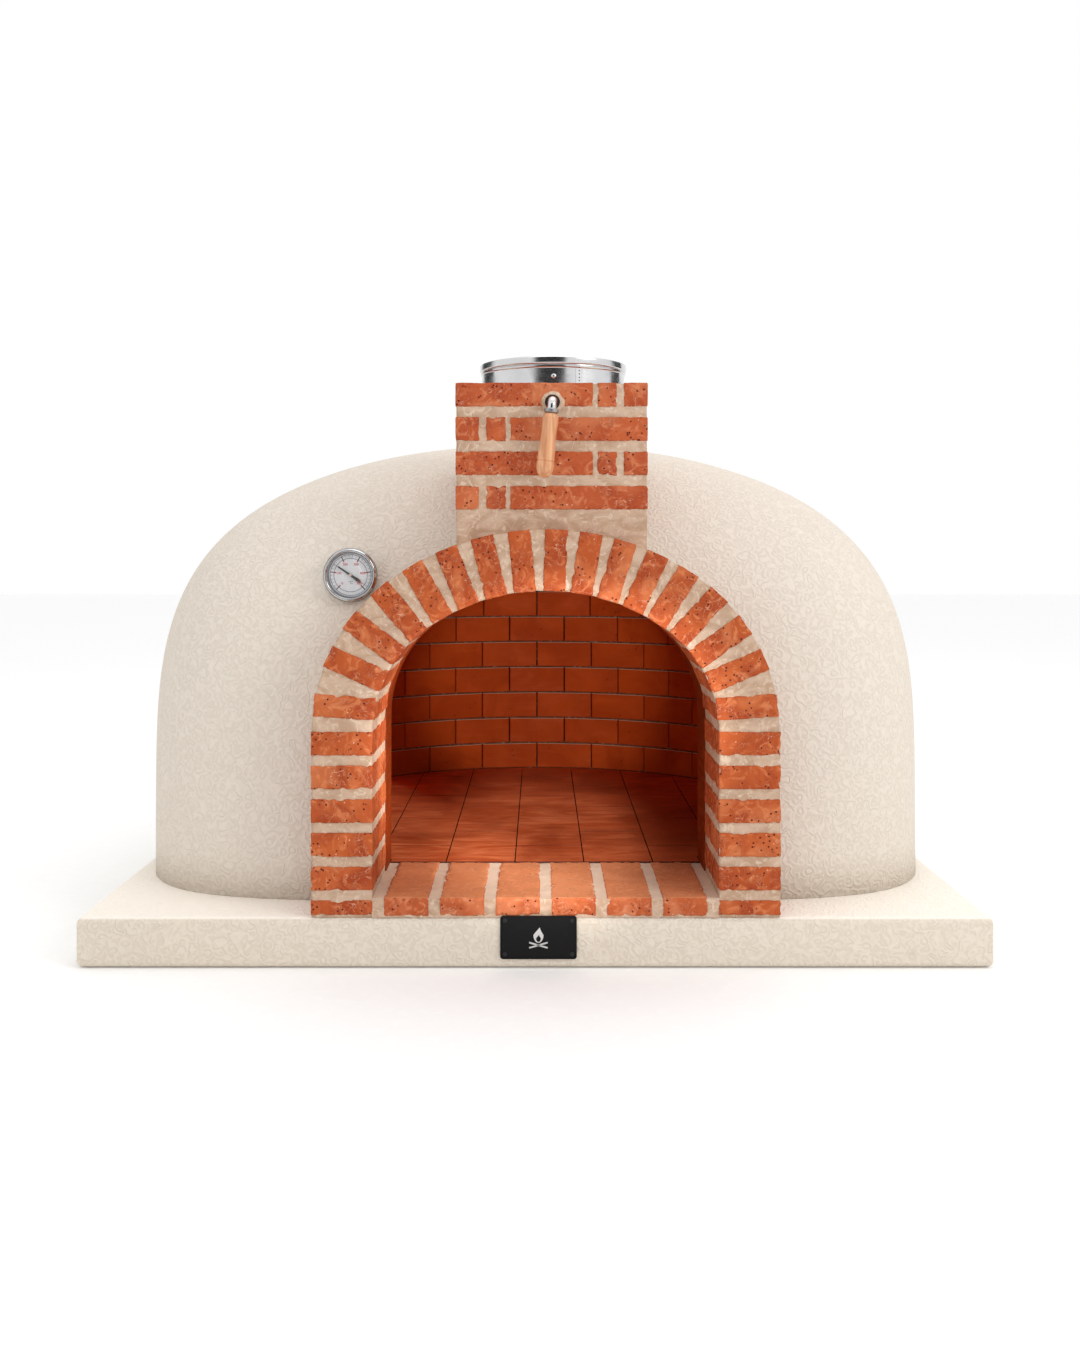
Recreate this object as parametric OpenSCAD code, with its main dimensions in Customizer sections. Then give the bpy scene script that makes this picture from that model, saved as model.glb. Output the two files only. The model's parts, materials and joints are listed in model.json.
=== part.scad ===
// Wood fired pizza oven: a rendered brick dome on a cast slab, with a brick arch, chimney and damper.
// Millimetres. The origin is the middle of the slab's underside, +Z is up and the mouth faces -Y.

/* [Base slab] */
// Width and depth of the slab
slab_w = 1200; // [1190:1:1230]
// Thickness of the slab
slab_h = 66; // [62:1:70]
// Bevel along the slab's edges
slab_bevel = 5; // [3:1:8]

/* [Hearth] */
// Height of the cooking floor above the underside
floor_z = 92.5; // [92:0.5:94]
// Thickness of the hearth tiles
tile_h = 30; // [25:1:32]
// Width of one hearth tile with its joint
tile_pitch_w = 100.5; // [95:0.5:110]
// Length of one hearth tile with its joint
tile_pitch_l = 205; // [195:1:215]
// Gap between hearth tiles
tile_gap = 1.6; // [1:0.2:3]
// Thickness of the insulation board below the floor
board_h = 25; // [20:1:28]

/* [Threshold] */
// Number of threshold bricks
sill_count = 6; // [5:1:6]
// Width of one threshold brick
sill_w = 59; // [54:1:62]
// Depth of the threshold bricks
sill_l = 197; // [190:1:200]

/* [Arch] */
// Sideways offset of the arch from the slab's middle
arch_x = 14; // [8:1:16]
// Half of the mouth's clear width
mouth_half = 226; // [224:1:228]
// Height of the springline above the underside
spring_z = 305; // [300:1:308]
// Radius of the arch's two side curves
side_r = 170; // [168:1:172]
// Radius of the arch's crown curve
crown_r = 269; // [267:1:271]
// Radial thickness of the arch ring
ring_t = 82; // [78:1:83]
// Depth of the arch ring
ring_d = 150; // [140:5:150]
// Depth of the short bricks over the crown, in front of the smoke duct
short_d = 75; // [65:1:75]
// Thickness of an arch brick
arch_brick = 31; // [29:1:32]
// Sideways offset of the keystone along the curve
key_shift = 11; // [0:1:12]
// Height step of the bricks in the arch legs
leg_pitch = 44.1; // [43:0.1:44.5]

/* [Chamber] */
// Inner radius of the baking chamber
chamber_r = 435; // [430:1:438]
// Forward offset of the chamber's axis
chamber_y = -10; // [-12:1:-8]
// Radial length of a dome brick in the lowest courses
dome_wall = 108; // [104:1:108]
// Height step of the dome courses
course_pitch = 53; // [52:0.5:53]
// Mortar bed between dome courses
course_bed = 3; // [2:0.5:4]
// Gap between neighbouring dome bricks
brick_gap = 2.5; // [1.5:0.5:4]
// Number of bricks in a full dome course
course_count = 24; // [22:1:26]

/* [Outer dome] */
// Half of the dome's width
dome_a = 589; // [586:1:592]
// Reach of the dome in front of its axis
dome_front = 509; // [506:1:511]
// Reach of the dome behind its axis
dome_back = 588; // [580:1:590]
// Height of the dome above the slab
dome_h = 663; // [660:1:666]
// Thickness of the outer render
render_t = 15; // [12:1:16]

/* [Chimney] */
// Width and depth of the chimney
stack_w = 257; // [256:0.5:258]
// Sideways offset of the chimney
stack_x = 22; // [20:1:24]
// Top of the chimney above the underside
stack_top = 770; // [768:1:772]
// Height of one chimney brick
stack_brick_h = 33; // [31:1:34]
// Height step of the chimney courses
stack_pitch = 45.7; // [45:0.1:46]
// Thickness of the chimney's brick walls
stack_wall = 33; // [30:1:34]
// Length of the long chimney bricks
stack_long = 184; // [180:1:186]
// Width of the small filler bricks
stack_small = 27; // [24:1:28]

/* [Flue and damper] */
// Bore radius of the flue pipe
flue_r = 100; // [99:0.5:100]
// Wall thickness of the flue pipe
flue_t = 1.5; // [1:0.5:1.5]
// Height of the flue pipe's rim above the chimney
flue_rise = 39; // [36:1:42]
// Height of the damper spindle above the underside
spindle_z = 743.5; // [742:0.5:745]
// Radius of the damper spindle
spindle_r = 6; // [5:0.5:6]
// Radius of the damper plate
plate_r = 95; // [90:1:95]
// Length of the wooden handle
handle_l = 86; // [80:1:90]
// Sideways lean of the handle in degrees
handle_lean = 6.5; // [0:0.5:8]

/* [Thermometer] */
// Sideways place of the thermometer
gauge_x = -257; // [-259:1:-255]
// Height of the thermometer's middle
gauge_z = 512; // [510:1:514]
// Radius of the thermometer's bezel
gauge_r = 37.5; // [36:0.5:38]
// Depth of the thermometer's case
gauge_d = 24; // [22:1:26]

/* [Plaque] */
// Width of the plaque
plaque_w = 100; // [90:1:110]
// Height of the plaque
plaque_h = 56; // [50:1:56]
// Sideways place of the plaque
plaque_x = 4.5; // [0:0.5:8]

/* [Hidden] */
$fn = 64;
eps = 0.01;
clear = 1;
front_y = -slab_w / 2;
ring_back = front_y + ring_d;
short_back = front_y + short_d;
throat_back = -310;
throat_split = 140;
straight_up = 160;
side_x = mouth_half - side_r;
crown_drop = sqrt(pow(crown_r - side_r, 2) - pow(side_x, 2));
crown_z = spring_z - crown_drop;
switch_a = atan2(crown_drop, side_x);
side_len = side_r * switch_a * PI / 180;
curve_len = 2 * side_len + 2 * crown_r * (90 - switch_a) * PI / 180;
leg_courses = 6;
leg_z = slab_h + 23;
leg_bed = 12;
skew_len = 33.6;
skew_lean = 0.35;
voussoirs = 8;
key_len = curve_len / 2 + key_shift;
step_left = (key_len - skew_len) / voussoirs;
step_right = (curve_len - skew_len - key_len) / voussoirs;
short_each_side = 3;
sill_joint = (2 * mouth_half - sill_count * sill_w) / (sill_count + 1);
sill_back = front_y + sill_l;
tile_middle = -30;
bed_z = floor_z - tile_h;
board_z = bed_z - 11.5 - board_h;
footing_h = 24;
first_z = slab_h + footing_h;
straight_courses = 7;
mouth_gap_deg = 27;
inner_h = 508;
inner_p = 9;
inner_q = 2;
brick_p = 4.7;
brick_q = 1.88;
brick_a = chamber_r + dome_wall;
brick_h = dome_h - 46;
crown_inner_a = [19, 32, 46, 59, 71, 81];
crown_outer_a = [20.5, 38, 52, 63.5, 74, 82.5];
crown_counts = [24, 20, 16, 12, 8];
plan_front = 4.8;
plan_back = 2.2;
stack_y = front_y + 30 + stack_w / 2;
stack_foot = 480;
above_all = 900;
flue_x = stack_x + 3;
flue_y = stack_y + 0.5;
flue_base = 582;
flue_top = stack_top + flue_rise;
socket_l = 50;
socket_base = flue_top - socket_l - 3;
duct_front = short_back + 8;
duct_back = -404;
gauge_y = -500;
sleeve_r = 8;
spindle_x = stack_x + 1;
spindle_tip = front_y + 5;
bush_r = 8;
plate_t = 3;
screw_r = 2;
screw_reach = 55;
tang_r = 3;
tang_fit = 0.02;
handle_top = 17;
ferrule_l = 6;
elbow_r = 8;
plaque_z = 41;
plaque_inset = 6;
pointer_deg = 145.8;

// ---- Shared outlines ----

// Arch outline with its legs, grown outward by dr, with x across and y up
module arch_outline(dr) {
  translate([-mouth_half - dr, slab_h])
    square([2 * (mouth_half + dr), spring_z - slab_h]);
  intersection() {
    for (s = [-1, 1])
      translate([s * side_x, spring_z])
        circle(r = side_r + dr, $fn = 128);
    translate([-2 * mouth_half, slab_h])
      square([4 * mouth_half, 2 * mouth_half + spring_z]);
  }
  intersection() {
    translate([0, crown_z])
      circle(r = crown_r + dr, $fn = 128);
    translate([0, crown_z])
      polygon([[0, 0], 2 * crown_r * [cos(switch_a), sin(switch_a)],
               [0, 3 * crown_r], 2 * crown_r * [-cos(switch_a), sin(switch_a)]]);
  }
}

// Solid behind the arch outline, from y0 to y1
module arch_prism(dr, y0, y1) {
  translate([arch_x, y1, 0])
    rotate([90, 0, 0])
      linear_extrude(y1 - y0)
        arch_outline(dr);
}

// Angle of the arch's radial line at a length along the intrados, measured from the left springing
function arch_angle(s) =
  s < side_len ? s / side_r * 180 / PI
  : s > curve_len - side_len ? 180 - (curve_len - s) / side_r * 180 / PI
  : switch_a + (s - side_len) / crown_r * 180 / PI;

// Centre of the curve at that length
function arch_centre(s) =
  s < side_len ? [-side_x, spring_z]
  : s > curve_len - side_len ? [side_x, spring_z]
  : [0, crown_z];

function arch_radius(s) = s < side_len || s > curve_len - side_len ? side_r : crown_r;

// Length along the intrados of voussoir i, counted from the left springing
function voussoir_len(i) =
  i <= voussoirs ? skew_len + i * step_left
  : key_len + (i - voussoirs) * step_right;

// One straight-sided arch brick; the two lowest ones lean less than the curve does
module voussoir(i, depth) {
  s = voussoir_len(i);
  a = arch_angle(s);
  foot = arch_centre(s) + arch_radius(s) * [-cos(a), sin(a)];
  lean = i == 0 ? a * skew_lean : i == 2 * voussoirs ? 180 - (180 - a) * skew_lean : a;
  translate([arch_x + foot[0], front_y, foot[1]])
    rotate([0, lean - 180, 0])
      translate([0, 0, -arch_brick / 2])
        cube([ring_t, depth, arch_brick]);
}

// Radial line half way between two voussoirs of the crown
function split_angle(i) = arch_angle((voussoir_len(i) + voussoir_len(i + 1)) / 2);

// Wedge that holds the short crown bricks and the throat behind them
module crown_wedge(y0, y1) {
  left_a = 180 - split_angle(voussoirs - short_each_side - 1);
  right_a = 180 - split_angle(voussoirs + short_each_side);
  translate([arch_x, y1, crown_z])
    rotate([90, 0, 0])
      linear_extrude(y1 - y0)
        polygon([[0, 0], 600 * [cos(right_a), sin(right_a)], [0, 700],
                 600 * [cos(left_a), sin(left_a)]]);
}

// Bricks of one arch leg, on side s (-1 left, 1 right)
module arch_leg(s) {
  x0 = s < 0 ? arch_x - mouth_half - ring_t : arch_x + mouth_half;
  translate([x0, front_y, slab_h + 3])
    cube([ring_t, ring_d, leg_z - slab_h - 3]);
  for (k = [0 : leg_courses - 2])
    translate([x0, front_y, leg_z + leg_bed + k * leg_pitch])
      cube([ring_t, ring_d, arch_brick + 1]);
}

// Every brick of the arch, used to cut the mortar
module arch_all_bricks() {
  for (s = [-1, 1])
    arch_leg(s);
  for (i = [0 : 2 * voussoirs])
    voussoir(i, ring_d);
}

// Superellipse radius of the dome's plan at a polar angle
function plan_r(a, b, n, deg) =
  1 / pow(pow(abs(cos(deg)) / a, n) + pow(abs(sin(deg)) / b, n), 1 / n);

// One point of the dome's plan
function plan_point(inset, deg) =
  let (r = deg > 180
    ? plan_r(dome_a - inset, dome_front - inset, plan_front, deg)
    : plan_r(dome_a - inset, dome_back - inset, plan_back, deg))
  [r * cos(deg), r * sin(deg)];

// Closed dome shape, its surface moved in by inset, with a skirt below the slab's top
module dome_form(inset, rings, segs, skirt) {
  h = dome_h - inset;
  levels = [for (k = [0 : rings - 1])
    let (a = 90 * k / rings)
    [pow(cos(a), 2 / brick_q), slab_h + h * pow(sin(a), 2 / brick_p)]];
  base = skirt > 0 ? [[1, slab_h - skirt]] : [];
  all_levels = concat(base, levels);
  n = len(all_levels);
  body = [for (level = all_levels, j = [0 : segs - 1])
    let (p = plan_point(inset, 360 * j / segs))
    [p[0] * level[0], chamber_y + p[1] * level[0], level[1]]];
  points = concat(body, [[0, chamber_y, slab_h + h]]);
  sides = [for (k = [0 : n - 2], j = [0 : segs - 1], half = [0, 1])
    let (a = k * segs + j, b = k * segs + (j + 1) % segs)
    half == 0 ? [a, a + segs, b] : [b, a + segs, b + segs]];
  cap = [for (j = [0 : segs - 1])
    [(n - 1) * segs + j, n * segs, (n - 1) * segs + (j + 1) % segs]];
  bottom = [[for (j = [0 : segs - 1]) j]];
  polyhedron(points = points, faces = concat(bottom, sides, cap), convexity = 4);
}

module render_form() {
  dome_form(0, 22, 72, 0);
}

module blanket_form(skirt) {
  dome_form(render_t, 14, 60, skirt);
}

// Radius of the chamber's inner surface at a height
function inner_r(z) =
  chamber_r * pow(1 - pow(max(0, (z - slab_h) / inner_h), inner_p), 1 / inner_q);

// Radius of the brick shell's outer surface at a height
function outer_r(z) =
  brick_a * pow(1 - pow(max(0, (z - slab_h) / brick_h), brick_p), 1 / brick_q);

// Points on the two surfaces at the angle of a crown joint
function inner_point(a) =
  [chamber_r * pow(cos(a), 2 / inner_q), slab_h + inner_h * pow(sin(a), 2 / inner_p)];
function outer_point(a) =
  [brick_a * pow(cos(a), 2 / brick_q), slab_h + brick_h * pow(sin(a), 2 / brick_p)];

// Solid of revolution around the brick shell, grown by grow
module brick_envelope(grow, steps) {
  profile = [for (k = [1 : steps])
    let (p = outer_point(90 * k / steps))
    [p[0] + (k == steps ? 0 : grow), p[1] + grow]];
  translate([0, chamber_y, 0])
    rotate_extrude($fn = 60)
      polygon(concat([[0, slab_h - 10], [brick_a + grow, slab_h - 10],
                      [brick_a + grow, slab_h + straight_up]], profile));
}

// Inside of the chamber as stacked cones, up to just above the arch
module chamber_void() {
  steps = [slab_h - 10, 380, 440, 480, 510, 535, 550];
  translate([0, chamber_y, 0])
    for (k = [0 : len(steps) - 2])
      translate([0, 0, steps[k]])
        cylinder(r1 = inner_r(steps[k]), r2 = inner_r(steps[k + 1]),
                 h = steps[k + 1] - steps[k] + (k == len(steps) - 2 ? 60 : 0), $fn = 96);
}

// Space that the mouth, the throat, the chimney and the thermometer take out of the dome bricks
module brick_cutters() {
  arch_prism(ring_t + clear, front_y - 10, throat_back + clear);
  translate([stack_x - stack_w / 2 - clear, stack_y - stack_w / 2 - clear, 500])
    cube([stack_w + 2 * clear, stack_w + 2 * clear, 300]);
  gauge_hole(sleeve_r + 0.5);
}

// Straight hole for the thermometer's sleeve
module gauge_hole(r) {
  translate([gauge_x, -520, gauge_z])
    rotate([-90, 0, 0])
      cylinder(r = r, h = 300);
}

// One upright course of the dome: flat-sided bricks around the chamber
module dome_course(k) {
  z0 = first_z + k * course_pitch + course_bed;
  z1 = first_z + (k + 1) * course_pitch;
  r0 = inner_r((z0 + z1) / 2);
  half = 180 / course_count;
  r1 = outer_r(z1) * cos(half);
  w0 = r0 * tan(half) - brick_gap / 2;
  w1 = r1 * tan(half) - brick_gap / 2;
  difference() {
    for (i = [0 : course_count - 1]) {
      a = (i + (k % 2) / 2) * 360 / course_count + half;
      if (abs(a - 270) > mouth_gap_deg)
        translate([0, chamber_y, z0])
          rotate([0, 0, a])
            linear_extrude(z1 - z0)
              polygon([[r0, -w0], [r1, -w1], [r1, w1], [r0, w0]]);
    }
    brick_cutters();
  }
}

// One leaning course of the crown, between two joints; above the first, its lower corners stay
// on the joint
module crown_course(k) {
  i0 = inner_point(crown_inner_a[k]);
  i1 = inner_point(crown_inner_a[k + 1]);
  o0 = outer_point(crown_outer_a[k]);
  o1 = outer_point(crown_outer_a[k + 1]);
  count = crown_counts[k];
  half = 180 / count;
  lift = 1.5;
  tuck = k == 0 ? 1 : cos(half);
  function side(r, z) = [r, r * tan(half) - brick_gap / 2, z];
  function mirrored(p) = [p[0], -p[1], p[2]];
  right = [side(i0[0] * tuck, i0[1] + lift), side(o0[0] * tuck, o0[1] + lift),
           side(o1[0], o1[1] - lift), side(i1[0], i1[1] - lift)];
  left = [for (p = right) mirrored(p)];
  difference() {
    for (i = [0 : count - 1])
      translate([0, chamber_y, 0])
        rotate([0, 0, (i + (k % 2) / 2) * 360 / count])
          polyhedron(
            points = concat(left, right),
            faces = [[0, 3, 2, 1], [4, 5, 6, 7], [0, 1, 5, 4], [1, 2, 6, 5],
                     [2, 3, 7, 6], [3, 0, 4, 7]]);
    brick_cutters();
  }
}

// Square outline of the chimney, shrunk by inset
module stack_box(inset, z0, z1) {
  w = stack_w - 2 * inset;
  translate([stack_x - w / 2, stack_y - w / 2, z0])
    cube([w, w, z1 - z0]);
}

// Round shaft through the chimney, wider at the socket, grown by grow
module flue_hole(grow) {
  translate([flue_x, flue_y, flue_base])
    cylinder(r = flue_r + grow, h = 300, $fn = 128);
  translate([flue_x, flue_y, socket_base])
    cylinder(r = flue_r + flue_t + grow, h = 100, $fn = 128);
}

// Bricks of one chimney course before the flue is cut, laid like a pinwheel; k counts from the top
module stack_course_bricks(k) {
  half = stack_w / 2;
  joint_a = 5;
  translate([stack_x, stack_y, stack_top - k * stack_pitch - stack_brick_h])
    mirror([k % 2, 0, 0])
      for (turn = [0 : 3])
        rotate([0, 0, 90 * turn]) {
          translate([-half, -half, 0])
            cube([stack_long, stack_wall, stack_brick_h]);
          translate([-half + stack_long + joint_a, -half, 0])
            cube([stack_small, stack_wall, stack_brick_h]);
        }
}

module stack_course(k) {
  difference() {
    stack_course_bricks(k);
    flue_hole(1);
    if (k == 0)
      spindle_hole(bush_r);
  }
}

// Hole along the damper spindle's axis, through the front and back of the chimney
module spindle_hole(r) {
  translate([spindle_x, front_y, spindle_z])
    rotate([-90, 0, 0])
      cylinder(r = r, h = 280);
}

// ---- Base ----

// Chamber floor outline with its tongue towards the threshold
module floor_outline(inset) {
  intersection() {
    union() {
      translate([0, chamber_y])
        circle(r = chamber_r - 2 - inset, $fn = 128);
      translate([arch_x - mouth_half + inset, sill_back])
        square([2 * (mouth_half - inset), 200]);
    }
    translate([-chamber_r, sill_back + inset])
      square([2 * chamber_r, 3 * chamber_r]);
  }
}

module base_slab() {
  color("#e0d6c8")
    difference() {
      hull() {
        linear_extrude(slab_h)
          square(slab_w - 2 * slab_bevel, center = true);
        translate([0, 0, slab_bevel])
          linear_extrude(slab_h - 2 * slab_bevel)
            square(slab_w, center = true);
      }
      translate([0, 0, board_z])
        linear_extrude(slab_h)
          floor_outline(0);
    }
}

module hearth_board() {
  color("#e9e4d8")
    translate([0, 0, board_z])
      linear_extrude(board_h)
        floor_outline(0.5);
}

module hearth_bedding() {
  color("#b9a284")
    translate([0, 0, board_z + board_h])
      linear_extrude(bed_z - board_z - board_h)
        floor_outline(0.5);
}

// Tiles of every second column, cut to the floor's outline
module hearth_tiles(first) {
  start_x = tile_middle + tile_gap / 2;
  translate([0, 0, bed_z])
    linear_extrude(tile_h)
      intersection() {
        floor_outline(1);
        for (i = [-5 + first : 2 : 4], j = [-1 : 5])
          translate([start_x + i * tile_pitch_w,
                     sill_back + (j + first / 2) * tile_pitch_l + tile_gap])
            square([tile_pitch_w - tile_gap, tile_pitch_l - tile_gap]);
      }
}

module hearth_tiles_a() {
  color("#8a4a26")
    hearth_tiles(0);
}

module hearth_tiles_b() {
  color("#7d4122")
    hearth_tiles(1);
}

module sill_bricks(grow) {
  for (i = [0 : sill_count - 1])
    translate([arch_x - mouth_half + sill_joint + i * (sill_w + sill_joint), front_y - grow,
               slab_h + 2])
      cube([sill_w, sill_l + 2 * grow, floor_z - slab_h - 2 + grow]);
}

module threshold_bricks() {
  color("#cf7d52")
    sill_bricks(0);
}

module threshold_mortar() {
  color("#cbb094")
    difference() {
      translate([arch_x - mouth_half + clear / 2, front_y + 2, slab_h])
        cube([2 * mouth_half - clear, sill_l - 3, floor_z - slab_h - 1.5]);
      sill_bricks(eps);
    }
}

// ---- Arch ----

module arch_leg_left() {
  color("#c2683f")
    arch_leg(-1);
}

module arch_leg_right() {
  color("#c87048")
    arch_leg(1);
}

module arch_bricks_left() {
  color("#be5d34")
    for (i = [0 : voussoirs - short_each_side - 1])
      voussoir(i, ring_d);
}

module arch_bricks_right() {
  color("#c8673c")
    for (i = [voussoirs + short_each_side + 1 : 2 * voussoirs])
      voussoir(i, ring_d);
}

module arch_crown_bricks() {
  color("#c36239")
    for (i = [1 : short_each_side], s = [-1, 1])
      voussoir(voussoirs + s * i, short_d);
}

module arch_keystone() {
  color("#cd6c42")
    voussoir(voussoirs, short_d);
}

module arch_mortar() {
  color("#c8a68a")
    difference() {
      arch_prism(ring_t - 1, front_y + 2.5, ring_back - 1);
      arch_prism(1.5, front_y - 5, ring_back + 5);
      arch_all_bricks();
      crown_wedge(short_back - 1, ring_back + 5);
    }
}

// Cast throat behind the arch that carries the smoke up to the flue, in three lengths
module throat_length(x0, x1) {
  color("#b3876a")
    difference() {
      intersection() {
        union() {
          arch_prism(ring_t - 1, ring_back, throat_back);
          intersection() {
            arch_prism(ring_t - 1, short_back, throat_back);
            crown_wedge(short_back, throat_back);
          }
        }
        translate([arch_x + x0, front_y, 0])
          cube([x1 - x0, throat_back - front_y + 10, dome_h]);
      }
      arch_prism(0, short_back - 5, throat_back + 5);
      chamber_void();
      intersection() {
        translate([flue_x, flue_y, crown_z])
          cylinder(r = flue_r - 2, h = 500);
        translate([flue_x - flue_r, duct_front, crown_z])
          cube([2 * flue_r, duct_back - duct_front, 500]);
      }
    }
}

module throat_left() { throat_length(-400, -throat_split); }
module throat_right() { throat_length(throat_split, 400); }
module throat_crown() { throat_length(-throat_split, throat_split); }

// ---- Chamber bricks ----

module dome_footing() {
  color("#a9613d")
    difference() {
      translate([0, chamber_y, slab_h])
        cylinder(r = brick_a, h = footing_h, $fn = 128);
      translate([0, chamber_y, slab_h - 1])
        cylinder(r = chamber_r, h = footing_h + 2, $fn = 128);
      arch_prism(ring_t + clear, front_y - 10, throat_back + clear);
    }
}

module dome_course_1() { color("#8b3f1c") dome_course(0); }
module dome_course_2() { color("#93451f") dome_course(1); }
module dome_course_3() { color("#8b3f1c") dome_course(2); }
module dome_course_4() { color("#93451f") dome_course(3); }
module dome_course_5() { color("#8b3f1c") dome_course(4); }
module dome_course_6() { color("#93451f") dome_course(5); }
module dome_course_7() { color("#8b3f1c") dome_course(6); }

// Thin mortar beds under and between the upright courses
module dome_beds() {
  color("#6b3a22")
    difference() {
      for (k = [0 : straight_courses - 1])
        translate([0, chamber_y, first_z + k * course_pitch])
          difference() {
            cylinder(r = outer_r(first_z + (k + 1) * course_pitch) - 4, h = course_bed, $fn = 96);
            translate([0, 0, -1])
              cylinder(r = inner_r(first_z + k * course_pitch) + 4, h = course_bed + 2, $fn = 96);
          }
      arch_prism(ring_t + clear, front_y - 10, throat_back + clear);
    }
}

module crown_course_1() { color("#93451f") crown_course(0); }
module crown_course_2() { color("#8b3f1c") crown_course(1); }
module crown_course_3() { color("#93451f") crown_course(2); }
module crown_course_4() { color("#8b3f1c") crown_course(3); }
module crown_course_5() { color("#93451f") crown_course(4); }

module crown_plug() {
  color("#9a4a24")
    translate([0, chamber_y, inner_point(crown_inner_a[5])[1]])
      rotate([0, 0, 22.5])
        cylinder(r = outer_point(crown_outer_a[5])[0] - brick_gap, h = 108, $fn = 8);
}

// ---- Skin ----

module insulation_blanket() {
  color("#efece2")
    difference() {
      blanket_form(0);
      brick_envelope(5.5, 12);
      arch_prism(ring_t + 2 * clear, front_y - 10, throat_back);
      stack_box(-clear, stack_foot, above_all);
      gauge_hole(sleeve_r + 1);
      gauge_seat(gauge_r + 1.5);
    }
}

// Recess for the thermometer's case
module gauge_seat(r) {
  translate([gauge_x, gauge_y - 30, gauge_z])
    rotate([-90, 0, 0])
      cylinder(r = r, h = 30 + gauge_d + 1);
}

module outer_render() {
  color("#e3d9cb")
    difference() {
      render_form();
      blanket_form(10);
      arch_prism(ring_t + 2 * clear, front_y - 10, throat_back);
      stack_box(0, stack_foot, above_all);
      gauge_seat(gauge_r - 0.5);
      gauge_hole(sleeve_r + 1);
    }
}

// ---- Chimney ----

module chimney_course_1() { color("#c76c45") stack_course(0); }
module chimney_course_2() { color("#c06540") stack_course(1); }
module chimney_course_3() { color("#c56942") stack_course(2); }
module chimney_course_4() { color("#bd633e") stack_course(3); }

module chimney_mortar() {
  color("#cbaa8e")
    difference() {
      stack_box(2, 510, stack_top - 1.5);
      for (k = [0 : 3])
        stack_course_bricks(k);
      arch_prism(ring_t + 2 * clear, front_y - 10, throat_back);
      flue_hole(0);
      translate([flue_x, flue_y, 500])
        cylinder(r = flue_r - 2, h = 100);
      spindle_hole(bush_r);
    }
}

// ---- Flue ----

// Pipe that lines the chimney, up to the socket
module flue_pipe() {
  color("#b9bbbc")
    difference() {
      translate([flue_x, flue_y, flue_base])
        cylinder(r = flue_r, h = socket_base - flue_base, $fn = 128);
      translate([flue_x, flue_y, flue_base - 1])
        cylinder(r = flue_r - flue_t, h = socket_base - flue_base + 2, $fn = 128);
      spindle_hole(spindle_r + 0.5);
    }
}

// Socket for the next pipe, with a shoulder that the pipe stands on
module flue_collar() {
  color("#c9cbcc")
    difference() {
      translate([flue_x, flue_y, socket_base])
        cylinder(r = flue_r + flue_t, h = flue_top - socket_base, $fn = 128);
      translate([flue_x, flue_y, socket_base - 1])
        cylinder(r = flue_r - flue_t, h = 20, $fn = 128);
      translate([flue_x, flue_y, flue_top - socket_l])
        cylinder(r = flue_r, h = socket_l + 1, $fn = 128);
    }
}

// Rolled band around the top of the pipe, above a thin bead
module flue_rim() {
  r = flue_r + flue_t;
  color("#d7d9da")
    translate([flue_x, flue_y, flue_top])
      rotate_extrude($fn = 128)
        polygon([[r, -13], [r + 1.2, -12.4], [r + 1.2, -11.2], [r + 0.5, -10.4],
                 [r + 2.2, -9.6], [r + 2.6, -1.2], [r + 1.6, 0], [r, 0]]);
}

// Domed rivets that hold the pipe's lapped seam
module flue_rivets() {
  color("#b4b6b8")
    for (a = [-92, 88], z = [12])
      translate([flue_x, flue_y, stack_top + z])
        rotate([0, 0, a])
          translate([flue_r + flue_t - 0.2, 0, 0])
            rotate([0, 90, 0])
              cylinder(r = 3, h = 1.8, $fn = 24);
}

// ---- Damper ----

module damper_bush() {
  color("#3a3a3a")
    translate([spindle_x, front_y + 30, spindle_z])
      rotate([-90, 0, 0])
        difference() {
          union() {
            cylinder(r = bush_r, h = stack_wall - 8);
            translate([0, 0, -1.5])
              cylinder(r = 10, h = 1.5);
          }
          translate([0, 0, -5])
            cylinder(r = spindle_r + 0.06, h = 60);
        }
}

module damper_plate() {
  color("#8f9294")
    difference() {
      translate([flue_x, flue_y, spindle_z - spindle_r - plate_t])
        cylinder(r = plate_r, h = plate_t, $fn = 128);
      damper_screw_shanks(screw_r + 0.05);
    }
}

module damper_screw_shanks(r) {
  for (s = [-1, 1])
    translate([spindle_x, flue_y + s * screw_reach, spindle_z - spindle_r - plate_t - 1])
      cylinder(r = r, h = 2 * spindle_r + plate_t + 2);
}

module damper_screws() {
  color("#6f7274")
    for (s = [-1, 1])
      translate([spindle_x, flue_y + s * screw_reach, 0]) {
        translate([0, 0, spindle_z + spindle_r])
          cylinder(r = 3.5, h = 3, $fn = 6);
        translate([0, 0, spindle_z - spindle_r - plate_t])
          cylinder(r = screw_r, h = 2 * spindle_r + plate_t);
        translate([0, 0, spindle_z - spindle_r - plate_t - 2])
          cylinder(r = 4, h = 2);
      }
}

// Places its children at the top of the leaning handle, with +Z down along it
module at_handle() {
  translate([spindle_x, spindle_tip, spindle_z])
    rotate([180, handle_lean, 0])
      children();
}

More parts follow.
